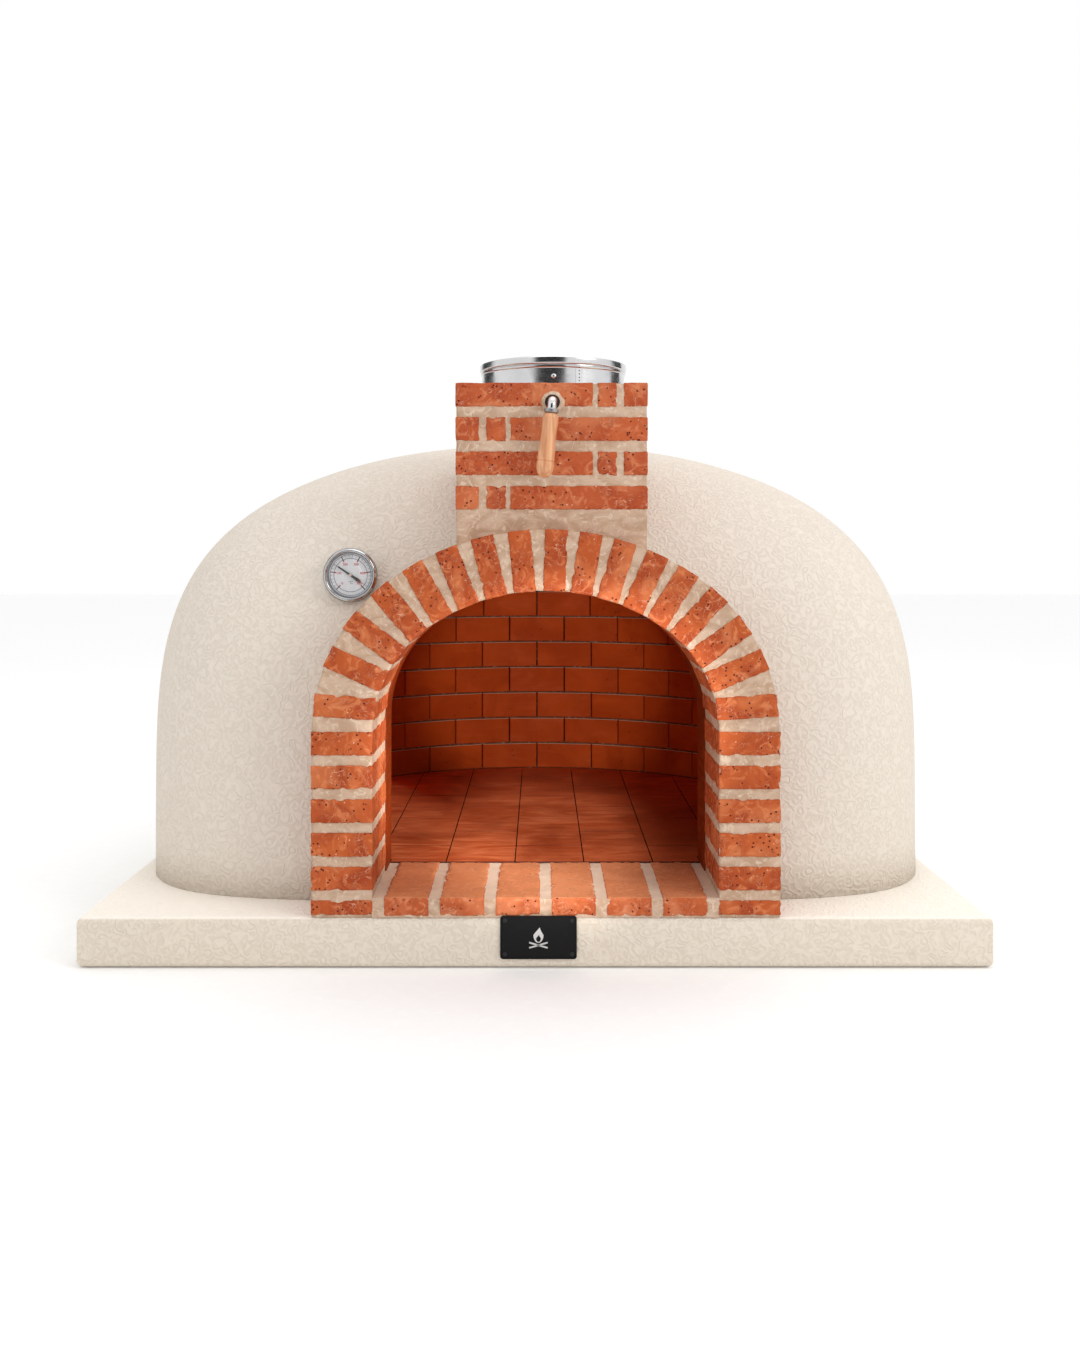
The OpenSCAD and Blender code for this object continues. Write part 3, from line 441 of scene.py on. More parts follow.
def make_piece(name, points, faces, body, finish, nodes=(), tones=None, smooth=True):
    """A mesh piece in the shared frame that rides on a body, and may stand for CAD nodes."""
    mesh = bpy.data.meshes.new(name)
    mesh.from_pydata([tuple(p) for p in points], [], [tuple(int(i) for i in face) for face in faces])
    mesh.update()
    mesh.polygons.foreach_set("use_smooth", [smooth] * len(mesh.polygons))
    shade = mesh.attributes.new("tone", "FLOAT", "POINT")
    shade.data.foreach_set("value", np.zeros(len(points)) if tones is None else tones)
    mesh.materials.append(FINISHES[finish])
    piece = bpy.data.objects.new(name, mesh)
    bpy.context.scene.collection.objects.link(piece)
    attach(piece, body)
    if nodes:
        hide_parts(*nodes)
    return piece


def solids_of(node):
    """The closed solids of a CAD node, as welded (points, faces) with flat faces joined."""
    bm = bmesh.new()
    bm.from_mesh(frame["nodes"][node].data)
    bmesh.ops.remove_doubles(bm, verts=bm.verts, dist=2e-5)
    bmesh.ops.dissolve_limit(bm, angle_limit=math.radians(0.5), verts=bm.verts, edges=bm.edges)
    solids = []
    left = set(bm.verts)
    while left:
        group = [left.pop()]
        for vert in group:
            for edge in vert.link_edges:
                other = edge.other_vert(vert)
                if other in left:
                    left.remove(other)
                    group.append(other)
        group.sort(key=lambda vert: vert.index)
        number = {vert: i for i, vert in enumerate(group)}
        faces = {face for vert in group for face in vert.link_faces}
        faces = sorted(faces, key=lambda face: face.index)
        solids.append((np.array([tuple(vert.co) for vert in group]),
                       [[number[vert] for vert in face.verts] for face in faces]))
    bm.free()
    solids.sort(key=lambda solid: tuple(np.round(solid[0].mean(0), 4)))
    return solids


def with_modifier(points, faces, kind, **settings):
    """The (points, faces) that a modifier makes of a mesh."""
    mesh = bpy.data.meshes.new("work")
    mesh.from_pydata([tuple(p) for p in points], [], faces)
    work = bpy.data.objects.new("work", mesh)
    bpy.context.scene.collection.objects.link(work)
    modifier = work.modifiers.new(kind, kind)
    for key, value in settings.items():
        setattr(modifier, key, value)
    graph = bpy.context.evaluated_depsgraph_get()
    result = work.evaluated_get(graph).to_mesh()
    made = np.array([tuple(v.co) for v in result.vertices])
    polygons = [list(p.vertices) for p in result.polygons]
    bpy.data.objects.remove(work)
    bpy.data.meshes.remove(mesh)
    return made, polygons


def point_normals(points, faces):
    """Outward normals at the points of a mesh of quads and triangles."""
    normals = np.zeros_like(points)
    quads = np.array([face if len(face) == 4 else [face[0], face[1], face[2], face[2]] for face in faces])
    corner = points[quads]
    flat = np.cross(corner[:, 2] - corner[:, 0], corner[:, 3] - corner[:, 1])
    for k in range(4):
        np.add.at(normals, quads[:, k], flat)
    length = np.linalg.norm(normals, axis=1, keepdims=True)
    return normals / np.maximum(length, 1e-12)


def neighbour_mean(points, faces):
    """Each point's mean over its face neighbours."""
    quads = np.array([face if len(face) == 4 else [face[0], face[1], face[2], face[0]] for face in faces])
    total = np.zeros_like(points)
    count = np.zeros(len(points))
    for k in range(4):
        for other in (1, 3):
            np.add.at(total, quads[:, k], points[quads[:, (k + other) % 4]])
            np.add.at(count, quads[:, k], 1)
    return total / np.maximum(count, 1)[:, None]


def ripple(points, scale, seed):
    """Smooth noise from -1 to 1 at each point."""
    shift = Vector((seed * 13.1, seed * 7.7, seed * 3.3))
    return np.array([noise.noise(Vector(p) * scale + shift) for p in points])


def brick_skin(points, faces, step):
    """A fine skin of quads over a brick, and how far each point is from the brick's edges."""
    if len(points) == 8 and len(faces) == 6:
        beside = {a for face in faces for a, b in zip(face, face[1:] + face[:1]) if b == 0}
        beside |= {b for face in faces for a, b in zip(face, face[1:] + face[:1]) if a == 0}
        edges = np.array([points[i] - points[0] for i in sorted(beside)])
        if np.linalg.det(edges) < 0:
            edges = edges[[1, 0, 2]]
        sizes = np.linalg.norm(edges, axis=1)
        local, quads = block_points((0, 0, 0), sizes, step)
        local, quads = welded(local, quads)
        gaps = np.sort(np.minimum(local, sizes - local), axis=1)
        return points[0] + (local / sizes) @ edges, quads, gaps[:, 1]
    fine, quads = with_modifier(points, faces, "REMESH", mode="VOXEL", voxel_size=step * 0.8)
    soft = fine.copy()
    for _ in range(4):
        soft = neighbour_mean(soft, quads)
    return fine, quads, np.maximum(step * 2.2 - np.linalg.norm(soft - fine, axis=1) * 4, 0.0)


def welded(points, faces):
    """The same mesh with the points that coincide joined."""
    _, first, number = np.unique(np.round(points, 6), axis=0, return_index=True, return_inverse=True)
    number = number.reshape(-1)
    return points[first], [[int(number[i]) for i in face] for face in faces]


def weathered(points, faces, step, wear, lump, seed):
    """A solid as handmade brick: ragged edges and slightly wavy faces, never outside the solid."""
    fine, quads, gap = brick_skin(points, faces, step)
    soft = 0.45 * fine + 0.55 * neighbour_mean(fine, quads)
    normals = point_normals(soft, quads)
    near = np.clip(1 - gap / (2.2 * step), 0, 1)
    bite = np.clip(ripple(soft, 95, seed) - 0.05, 0, 1) + 0.6 * np.clip(ripple(soft, 240, seed + 2), 0, 1)
    wave = (0.5 + 0.5 * ripple(soft, 38, seed + 1)) * lump
    soft -= normals * (bite * near * wear + wave)[:, None]
    low, high = points.min(0), points.max(0)
    return np.clip(soft, low, high), quads


def brick_piece(node, finish):
    """Stands for a CAD node of bricks with weathered bricks, each with its own tone."""
    rng = random.Random(node)
    points, faces, tones = [], [], []
    for solid, sides in solids_of(node):
        made, quads = weathered(solid, sides, BRICK_STEP, BRICK_WEAR, BRICK_LUMP, rng.random() * 50)
        faces += [[i + len(points) for i in quad] for quad in quads]
        points += list(made)
        tones += [rng.random()] * len(made)
    return make_piece(node + "_weathered", points, faces, "oven", finish, [node], tones)


def crisp_piece(node, finish):
    """Stands for a CAD node of bricks with the same bricks, their edges just broken."""
    rng = random.Random(node)
    points, faces, tones = [], [], []
    for solid, sides in solids_of(node):
        made, polygons = with_modifier(solid, sides, "BEVEL", width=CRISP_EDGE, segments=2,
                                       limit_method="ANGLE", angle_limit=math.radians(40))
        faces += [[i + len(points) for i in polygon] for polygon in polygons]
        points += list(made)
        tones += [rng.random()] * len(made)
    return make_piece(node + "_crisp", points, faces, "oven", finish, [node], tones, smooth=False)


def grid_faces(rows, columns, closed=False):
    """Quads of a grid of points stored row by row; closed joins the last column to the first."""
    last = columns if closed else columns - 1
    return [(r * columns + c, r * columns + (c + 1) % columns,
             (r + 1) * columns + (c + 1) % columns, (r + 1) * columns + c)
            for r in range(rows - 1) for c in range(last)]


def lathe(profile, segments, centre, axis="z"):
    """Points and faces of a profile of (radius, height) turned about an axis through the centre."""
    points = []
    for radius, height in profile:
        for k in range(segments):
            angle = 2 * math.pi * k / segments
            across, up = radius * math.cos(angle), radius * math.sin(angle)
            local = (across, up, height) if axis == "z" else (across, -height, up)
            points.append(Vector(centre) + Vector(local))
    faces = grid_faces(len(profile), segments, closed=True)
    return points, faces


# ---- Slab and dome ----

def base_slab():
    """The slab with its long edges rounded off."""
    (solid, sides), = solids_of("base_slab")
    points, faces = with_modifier(solid, sides, "BEVEL", width=0.0032, segments=4,
                                  limit_method="ANGLE", angle_limit=math.radians(30))
    piece = make_piece("base_slab_rounded", points, faces, "oven", "slab_render", ["base_slab"])
    smooth_by_angle(piece, 30)


def smooth_by_angle(piece, degrees):
    """Smooth faces with crisp edges where the surface turns sharply."""
    bm = bmesh.new()
    bm.from_mesh(piece.data)
    limit = math.radians(degrees)
    for face in bm.faces:
        face.smooth = True
    for edge in bm.edges:
        edge.smooth = edge.is_manifold and edge.calc_face_angle(0.0) < limit
    bm.to_mesh(piece.data)
    bm.free()


def plan_radius(reach, power, angle):
    across = abs(math.cos(angle)) / DOME_A
    along = abs(math.sin(angle)) / reach
    return (across ** power + along ** power) ** (-1 / power)


def dome_point(turn, rise):
    """A point of the dome's surface: turn goes round it and rise from 0 at its foot to 1 at its top."""
    front = math.sin(turn) < 0
    radius = plan_radius(DOME_FRONT if front else DOME_BACK, PLAN_FRONT if front else PLAN_BACK, turn)
    angle = rise * math.pi / 2
    share = max(0.0, math.cos(angle)) ** (2 / DOME_Q)
    height = DOME_H * math.sin(angle) ** (2 / DOME_P)
    return (radius * math.cos(turn) * share, DOME_Y + radius * math.sin(turn) * share, SLAB_TOP + height)


def inside_arch(x, z, grow):
    """Whether a point of the front is inside the mouth's outline grown by grow."""
    across = abs(x - ARCH_X)
    if z < SPRING_Z:
        return across < MOUTH_HALF + grow
    if math.atan2(z - CROWN_Z, across) < SWITCH:
        return math.hypot(across - SIDE_X, z - SPRING_Z) < SIDE_R + grow
    return math.hypot(across, z - CROWN_Z) < CROWN_R + grow


def outer_dome():
    """The rendered shell, open where the arch and the chimney pass through it."""
    rows, columns = 150, 420
    rises = [k / (rows - 1) for k in range(rows)]
    points = [dome_point(2 * math.pi * c / columns, rise ** 1.25) for rise in rises for c in range(columns)]
    points = np.array(points)
    faces = grid_faces(rows, columns, closed=True)
    middle = points[np.array(faces)].mean(1)
    half = STACK_W / 2 - 0.012
    kept = []
    for face, spot in zip(faces, middle):
        in_mouth = spot[1] < -0.3 and inside_arch(spot[0], spot[2], RING - 0.02)
        in_stack = abs(spot[0] - STACK_X) < half and abs(spot[1] - STACK_Y) < half and spot[2] > 0.45
        if not (in_mouth or in_stack):
            kept.append(face)
    normals = point_normals(points, faces)
    sway = 0.5 + 0.5 * ripple(points, 5.5, 3)
    points = points - normals * (sway * 0.0018)[:, None]
    points[:columns, 2] = SLAB_TOP + 0.0003
    piece = make_piece("outer_render_shell", points, kept, "oven", "dome_render", ["outer_render"])
    shell = piece.modifiers.new("thickness", "SOLIDIFY")
    shell.thickness = RENDER_T - 0.002
    shell.offset = -1


# ---- Arch ----

def arch_frame(length):
    """Point and outward direction, as (x, z) pairs, at a length along the mouth's outline."""
    side = 1 if length > ARCH_LEN / 2 else -1
    run = ARCH_LEN - length if side > 0 else length
    if run < LEG_LEN:
        spot, way = (MOUTH_HALF, SLAB_TOP + run), (1.0, 0.0)
    elif run < LEG_LEN + SIDE_LEN:
        angle = (run - LEG_LEN) / SIDE_R
        way = (math.cos(angle), math.sin(angle))
        spot = (SIDE_X + SIDE_R * way[0], SPRING_Z + SIDE_R * way[1])
    else:
        angle = SWITCH + (run - LEG_LEN - SIDE_LEN) / CROWN_R
        way = (math.cos(angle), math.sin(angle))
        spot = (CROWN_R * way[0], CROWN_Z + CROWN_R * way[1])
    return (ARCH_X + side * spot[0], spot[1]), (side * way[0], way[1])


def mortar_band(name, start, end, front, back, nodes=()):
    """A length of the mortar that the arch bricks are bedded in, its face trowelled a little unevenly."""
    step = 0.004
    sunk = 0.0015
    count = max(2, round((end - start) / step))
    radial = np.linspace(sunk, RING - sunk, round(RING / step))
    deep = np.linspace(front, back, max(2, round((back - front) / step)))
    ring = [(r, deep[0]) for r in radial] + [(radial[-1], y) for y in deep[1:]]
    ring += [(r, deep[-1]) for r in radial[::-1][1:]] + [(radial[0], y) for y in deep[::-1][1:-1]]
    points = []
    for k in range(count + 1):
        spot, way = arch_frame(start + (end - start) * k / count)
        points += [(spot[0] + way[0] * r, y, spot[1] + way[1] * r) for r, y in ring]
    points = np.array(points)
    faces = grid_faces(count + 1, len(ring), closed=True)
    faces += [tuple(range(len(ring)))[::-1], tuple(range(count * len(ring), (count + 1) * len(ring)))]
    sides = [face for face in faces if len(face) == 4]
    normals = point_normals(points, sides)
    wave = ripple(points, 45, 5) * 0.0007 + ripple(points, 120, 6) * 0.0005
    points = points + normals * wave[:, None]
    points[:, 2] = np.maximum(points[:, 2], SLAB_TOP)
    return make_piece(name, points, faces, "oven", "mortar", nodes)


def arch_mortar():
    """The mortar round the whole mouth, and its deeper part below the short crown bricks."""
    back = FRONT + ARCH_DEPTH
    short_back = CROWN_BACK - 0.001
    crown_left = LEG_LEN + SIDE_LEN + CROWN_OVERLAP
    crown_right = ARCH_LEN - crown_left + 0.004
    mortar_band("arch_mortar_face", 0.0, ARCH_LEN, FRONT + MORTAR_SUNK, short_back, ["arch_mortar"])
    left = mortar_band("arch_mortar_left", 0.0, crown_left, short_back, back)
    right = mortar_band("arch_mortar_right", crown_right, ARCH_LEN, short_back, back)


def block_points(low, high, step):
    """Surface grid of a box, as points and outward quads."""
    points, faces = [], []
    low, high = np.array(low), np.array(high)
    for axis in range(3):
        u, v = [a for a in range(3) if a != axis]
        columns = max(2, round((high[u] - low[u]) / step) + 1)
        rows = max(2, round((high[v] - low[v]) / step) + 1)
        for end in (0, 1):
            first = len(points)
            for b in np.linspace(low[v], high[v], rows):
                for a in np.linspace(low[u], high[u], columns):
                    spot = np.zeros(3)
                    spot[axis] = (low, high)[end][axis]
                    spot[u], spot[v] = a, b
                    points.append(spot)
            turned = (end == 1) == (axis != 1)
            for face in grid_faces(rows, columns):
                quad = [first + i for i in face]
                faces.append(quad if turned else quad[::-1])
    return np.array(points), faces


def threshold_mortar():
    """The bed that the threshold bricks are set in."""
    low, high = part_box("threshold_mortar")
    low = (low.x - 0.0020, low.y - 0.0002, low.z)
    high = (high.x + 0.0020, high.y, high.z - 0.0004)
    points, faces = block_points(low, high, 0.005)
    wave = ripple(points, 40, 8) * 0.0007
    lifted = points[:, 2] > high[2] - 1e-4
    points[lifted, 2] += wave[lifted]
    fronted = points[:, 1] < low[1] + 1e-4
    points[fronted, 1] += wave[fronted]
    make_piece("threshold_mortar_bed", points, faces, "oven", "mortar", ["threshold_mortar"])


# ---- Chimney ----

def chimney_mortar():
    """Square mortar core with the flue's round shaft through it, bricks standing just proud of it."""
    sunk = 0.0018
    half = STACK_W / 2 - sunk
    step = 0.004
    run = np.linspace(-half, half, round(2 * half / step), endpoint=False)
    square = [(x, -half) for x in run] + [(half, y) for y in run]
    square += [(-x, half) for x in run] + [(-half, -y) for y in run]
    centre = np.array([FLUE_X - STACK_X, FLUE_Y - STACK_Y])
    angles = [math.atan2(y - centre[1], x - centre[0]) for x, y in square]
    bore = [centre + FLUE_R * np.array([math.cos(a), math.sin(a)]) for a in angles]
    top = STACK_HIGH.z - sunk
    bottom = 0.546
    levels = np.linspace(bottom, top, round((top - bottom) / step))
    points = []
    for z in levels:
        points += [(x, y, z) for x, y in square]
    for share in np.linspace(0.0, 1.0, 14)[1:]:
        points += [(*(np.array(s) * (1 - share) + b * share), top) for s, b in zip(square, bore)]
    for z in levels[::-1][1:]:
        points += [(*b, z) for b in bore]
    points = np.array(points)
    rows = len(points) // len(square)
    faces = grid_faces(rows, len(square), closed=True)
    normals = point_normals(points, faces)
    outer = np.linalg.norm(points[:, :2] - centre, axis=1) > FLUE_R + 0.001
    wave = (ripple(points, 42, 12) * 0.0008 + ripple(points, 110, 13) * 0.0005) * outer
    points = points + normals * wave[:, None]
    points[:, 0] += STACK_X
    points[:, 1] += STACK_Y
    make_piece("chimney_mortar_core", points, faces, "oven", "mortar", ["chimney_mortar"])


def flue_ring():
    """The flue socket: its wall, two beads and the rolled rim."""
    top = RIM_HIGH.z
    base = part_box("flue_collar")[0].z
    r = FLUE_R
    wall = 0.0015
    rim = [(r, base), (r, top - 0.0160), (r, top - 0.0155), (r + 0.0006, top - 0.0146),
           (r + 0.0014, top - 0.0138), (r + 0.0014, top - 0.0124), (r + 0.0006, top - 0.0116),
           (r + 0.0004, top - 0.0108), (r + 0.0018, top - 0.0098), (r + 0.0025, top - 0.0086),
           (r + 0.0026, top - 0.0080), (r + 0.0026, top - 0.0035), (r + 0.0026, top - 0.0030),
           (r + 0.0024, top - 0.0012), (r + 0.0016, top - 0.0003), (r + 0.0006, top),
           (r - wall * 0.6, top - 0.0004), (r - wall, top - 0.0016), (r - wall, top - 0.0500),
           (r - 2 * wall, top - 0.0502), (r - 2 * wall, base)]
    points, faces = lathe(rim, 192, (FLUE_X, FLUE_Y, 0))
    piece = make_piece("flue_socket_ring", points, faces, "oven", "stainless",
                       ["flue_collar", "flue_rim"])
    smooth_by_angle(piece, 35)


# ---- Flue trim, damper handle, thermometer and plaque ----

def flue_trim():
    """Rivet heads front and back, the lapped seam and its spot welds."""
    points, faces = [], []

    def dome(angle, z, radius, rise, base):
        out = Vector((math.sin(angle), -math.cos(angle), 0))
        side = Vector((math.cos(angle), math.sin(angle), 0))
        middle = Vector((FLUE_X, FLUE_Y, z)) + out * base
        first = len(points)
        for lift in (0.0, 0.35, 0.7, 0.92, 1.0):
            ring = radius * math.sqrt(max(0.0, 1 - lift * lift))
            for k in range(20):
                turn = math.pi * k / 10
                points.append(middle + out * rise * lift + side * ring * math.cos(turn)
                              + Vector((0, 0, ring * math.sin(turn))))
        faces.extend([tuple(first + i for i in face) for face in grid_faces(5, 20, closed=True)])

    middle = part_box("flue_rivets")[0].z / 2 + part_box("flue_rivets")[1].z / 2
    for angle in (0.0, math.pi):
        dome(angle, middle, 0.0034, 0.0016, FLUE_R)
    make_piece("flue_rivet_heads", points, faces, "oven", "steel", ["flue_rivets"])
    points.clear()
    faces.clear()
    seam = math.radians(20)
    for k in range(6):
        dome(seam, STACK_HIGH.z + 0.002 + 0.0045 * k, 0.0009, 0.0005, FLUE_R + 0.0003)
    welds = make_piece("flue_spot_welds", points, faces, "oven", "print_dark")
    levels = (STACK_HIGH.z - 0.008, RIM_HIGH.z - 0.016)
    edges = ((seam - 0.05, FLUE_R - 0.0002), (seam - 0.05, FLUE_R + 0.0004),
             (seam + 0.05, FLUE_R + 0.0004), (seam + 0.05, FLUE_R - 0.0002))
    strip = [(FLUE_X + r * math.sin(a), FLUE_Y - r * math.cos(a), z) for z in levels for a, r in edges]
    strap = make_piece("flue_lap_seam", strip, grid_faces(2, 4), "oven", "stainless", smooth=False)


HANDLE_LEAN = math.radians(6.5)
HANDLE_SHAPE = [(0.0, 0.0), (0.0, 6.2), (0.5, 7.3), (1.6, 8.9), (3.2, 10.0), (6.0, 10.7), (12.0, 10.7),
                (20.0, 10.2), (28.0, 10.0), (38.0, 10.3), (50.0, 10.9), (61.0, 11.3), (62.6, 11.3),
                (63.2, 10.7), (64.0, 10.7), (64.6, 11.5), (67.0, 11.7), (71.0, 11.7), (75.0, 11.1),
                (79.0, 9.7), (82.0, 7.7), (84.5, 5.0), (85.6, 2.6), (86.0, 0.0)]


def damper_handle():
    """The turned handle: a waist, a groove near its end and a rounded tip."""
    hinge = next(j for j in frame["record"]["behaviour"]["joints"] if j["name"] == "damper_turn")
    pivot = Vector((hinge["pos_m"][0], (HANDLE_LOW.y + HANDLE_HIGH.y) / 2, hinge["pos_m"][2]))
    down = Vector((-math.sin(HANDLE_LEAN), 0, -math.cos(HANDLE_LEAN)))
    across = Vector((math.cos(HANDLE_LEAN), 0, -math.sin(HANDLE_LEAN)))
    top = 0.017
    points = []
    for run, radius in HANDLE_SHAPE:
        for k in range(48):
            angle = 2 * math.pi * k / 48
            points.append(pivot + down * (top + run / 1000) + across * radius / 1000 * math.cos(angle)
                          + Vector((0, radius / 1000 * math.sin(angle), 0)))
    piece = make_piece("damper_handle_turned", points, grid_faces(len(HANDLE_SHAPE), 48, closed=True),
                       "damper", "wood", ["damper_handle"])
    smooth_by_angle(piece, 40)


def bush_pointing():
    """The ring of mortar smoothed round the damper's bush."""
    bush_low, bush_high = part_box("damper_bush")
    middle = ((bush_low.x + bush_high.x) / 2, 0, (bush_low.z + bush_high.z) / 2)
    face = -STACK_LOW.y
    points = []
    for radius, height in ((0.0085, face + 0.0004), (0.0100, face + 0.0012), (0.0125, face + 0.0009),
                           (0.0150, face - 0.0002), (0.0165, face - 0.0030)):
        for k in range(60):
            angle = 2 * math.pi * k / 60
            uneven = noise.noise(Vector((math.cos(angle) * 1.6, math.sin(angle) * 1.6, 4.0)))
            wide = radius * (1 + 0.16 * uneven * (radius > 0.012))
            points.append((middle[0] + wide * math.cos(angle), -height, middle[2] + wide * math.sin(angle)))
    ring = make_piece("damper_bush_pointing", points, grid_faces(5, 60, closed=True), "oven", "mortar")


def gauge_bezel():
    """The rolled chrome ring that holds the glass."""
    out, back = -BEZEL_LOW.y, -BEZEL_HIGH.y
    r = GAUGE_R
    profile = [(r, back), (r, out - 0.0070), (r - 0.0002, out - 0.0052), (r - 0.0008, out - 0.0030),
               (r - 0.0017, out - 0.0012), (r - 0.0028, out - 0.0002), (r - 0.0037, out),
               (r - 0.0046, out - 0.0004), (r - 0.0053, out - 0.0013), (r - 0.0058, out - 0.0024),
               (r - 0.0060, out - 0.0034), (r - 0.0060, out - 0.0050)]
    points, faces = lathe(profile, 128, (GAUGE_X, 0, GAUGE_Z), "y")
    make_piece("gauge_bezel_ring", points, faces, "oven", "chrome", ["gauge_bezel"])


def face_shapes(name, shapes, depth, body, finish, nodes=(), thick=0.0, middle=(GAUGE_X, GAUGE_Z)):
    """Flat shapes given as outlines of (x, z) about a middle, facing forwards at a depth."""
    points, faces = [], []
    for shape in shapes:
        first, n = len(points), len(shape)
        points += [(middle[0] + x, depth, middle[1] + z) for x, z in shape]
        faces.append(tuple(range(first, first + n)))
        if thick:
            points += [(middle[0] + x, depth + thick, middle[1] + z) for x, z in shape]
            faces += [(first + k, first + n + k, first + n + (k + 1) % n, first + (k + 1) % n)
                      for k in range(n)]
    return make_piece(name, points, faces, body, finish, nodes, smooth=False)


def spoke(angle, inner, outer, width):
    """A narrow bar that points away from the middle."""
    way = (math.cos(angle), math.sin(angle))
    side = (-way[1] * width / 2, way[0] * width / 2)
    return [(way[0] * inner - side[0], way[1] * inner - side[1]),
            (way[0] * outer - side[0], way[1] * outer - side[1]),
            (way[0] * outer + side[0], way[1] * outer + side[1]),
            (way[0] * inner + side[0], way[1] * inner + side[1])]


def hoop(radius, width, steps=96):
    """A thin ring on the dial as short quads, for printed rings and for the band of painted shadow."""
    bars = []
    for k in range(steps):
        a, b = 2 * math.pi * k / steps, 2 * math.pi * (k + 1) / steps
        corners = ((radius, a), (radius, b), (radius + width, b), (radius + width, a))
        bars.append([(r * math.cos(turn), r * math.sin(turn)) for r, turn in corners])
    return bars


def lettering(words, size, x, z):
    """Outlines of a short printed number, centred at (x, z)."""
    curve = bpy.data.curves.new("work", "FONT")
    curve.body = words
    curve.size = size
    curve.align_x = "CENTER"
    curve.align_y = "CENTER"
    curve.offset = size * 0.02
    work = bpy.data.objects.new("work", curve)
    bpy.context.scene.collection.objects.link(work)
    graph = bpy.context.evaluated_depsgraph_get()
    mesh = work.evaluated_get(graph).to_mesh()
    shapes = [[(x + mesh.vertices[i].co.x, z + mesh.vertices[i].co.y) for i in p.vertices]
              for p in mesh.polygons]
    bpy.data.objects.remove(work)
    bpy.data.curves.remove(curve)
    return shapes


def gauge_face():
    """Scale from 0 to 500 degrees, its rings, ticks and red numbers, and a band of painted shadow beside the
    bezel.
    """
    face = DIAL_FACE - 0.00015
    start, step = math.radians(225), math.radians(54)
    dark, red = [], []
    for k in range(26):
        angle = start - step * k / 5
        if k % 5 == 0:
            dark.append(spoke(angle, 0.0222, 0.0282, 0.0013))
            red.append(spoke(angle, 0.0200, 0.0226, 0.0018))
        else:
            dark.append(spoke(angle, 0.0255, 0.0280, 0.0004))
    for k in range(6):
        angle = start - step * k
        red += lettering(str(100 * k), 0.0046, 0.0165 * math.cos(angle), 0.0165 * math.sin(angle))
    ticks = face_shapes("gauge_ticks", dark, face, "oven", "print_dark")
    numbers = face_shapes("gauge_numbers", red, face, "oven", "print_red")
    # The widest band, at 0.0300, is painted shadow of the bezel on the dial; the two thin rings are print.
    grey_print_and_shadow_band = hoop(0.0280, 0.0009) + hoop(0.0228, 0.0009) + hoop(0.0300, 0.0024)
    grey_print_and_shadow_band += lettering("\u00b0C", 0.0060, 0.0, -0.0105)
    rings = face_shapes("gauge_rings_and_painted_shadow", grey_print_and_shadow_band, face + 0.00005, "oven", "print_grey_and_painted_shadow")


def gauge_pointer():
    """Black pointer with a dark red tail, a fine tip and a small pin at its middle."""
    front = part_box("gauge_pointer")[0].y
    rest = math.radians(145.8)

    def turned(shape):
        c, s = math.cos(rest), math.sin(rest)
        return [(x * c - z * s, x * s + z * c) for x, z in shape]

    mm = 0.001
    arrow = [(-12.6 * mm, -2.4 * mm), (-3 * mm, -1.5 * mm), (2 * mm, -1.4 * mm), (21 * mm, -1.0 * mm),
             (21 * mm, 1.0 * mm), (2 * mm, 1.4 * mm), (-3 * mm, 1.5 * mm), (-12.6 * mm, 2.4 * mm)]
    tail = [(-17 * mm, -0.5 * mm), (-15.4 * mm, -2.2 * mm), (-12.6 * mm, -2.1 * mm),
            (-12.6 * mm, 2.1 * mm), (-15.4 * mm, 2.2 * mm), (-17 * mm, 0.5 * mm)]
    needle = [(-25 * mm, -0.25 * mm), (27.5 * mm, -0.25 * mm), (27.5 * mm, 0.25 * mm), (-25 * mm, 0.25 * mm)]
    face_shapes("gauge_pointer_arrow", [turned(arrow)], front + 0.0003, "pointer", "pointer_black",
                ["gauge_pointer"], 0.0006)
    red = face_shapes("gauge_pointer_tail", [turned(tail), turned(needle)], front + 0.0004, "pointer",
                      "pointer_tail", (), 0.0005)
    profile = [(0.0021, -front - 0.0010), (0.0021, -front - 0.0003), (0.0017, -front + 0.0001),
               (0.0009, -front + 0.0004), (0.0, -front + 0.0004)]
    points, faces = lathe(profile, 32, (GAUGE_X, 0, GAUGE_Z), "y")
    pin = make_piece("gauge_pointer_pin", points, faces, "pointer", "pin")


def plaque_emblem():
    """A plain flame over two crossed logs, in raised silver."""
    low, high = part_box("plaque_emblem")
    middle = ((PLAQUE_LOW.x + PLAQUE_HIGH.x) / 2, (low.z + high.z) / 2)
    steps = 40
    flame = []
    for k in range(steps):
        turn = 2 * math.pi * k / steps
        rise = -math.cos(turn)
        width = math.sin(turn) * (1 - 0.55 * max(0.0, rise)) * (1.0 if rise < 0 else 1 - rise ** 1.4 * 0.55)
        flame.append((width, rise))
    outer = [(0.0066 * w + 0.0016 * max(0, r) ** 2, 0.0030 + 0.0098 * r) for w, r in flame]
    inner = [(0.0032 * w + 0.0006 * max(0, r) ** 2, -0.0012 + 0.0046 * r) for w, r in flame]
    shell = [[outer[k], outer[(k + 1) % steps], inner[(k + 1) % steps], inner[k]] for k in range(steps)]
    logs = []
    for lean in (math.radians(16), math.radians(164)):
        bar = spoke(lean, -0.0125, 0.0125, 0.0020)
        logs.append([(x, z - 0.0100) for x, z in bar])
    face_shapes("plaque_flame", shell + logs, low.y, "oven", "emblem", ["plaque_emblem"], 0.0005, middle)


# ---- Camera, light and floor ----

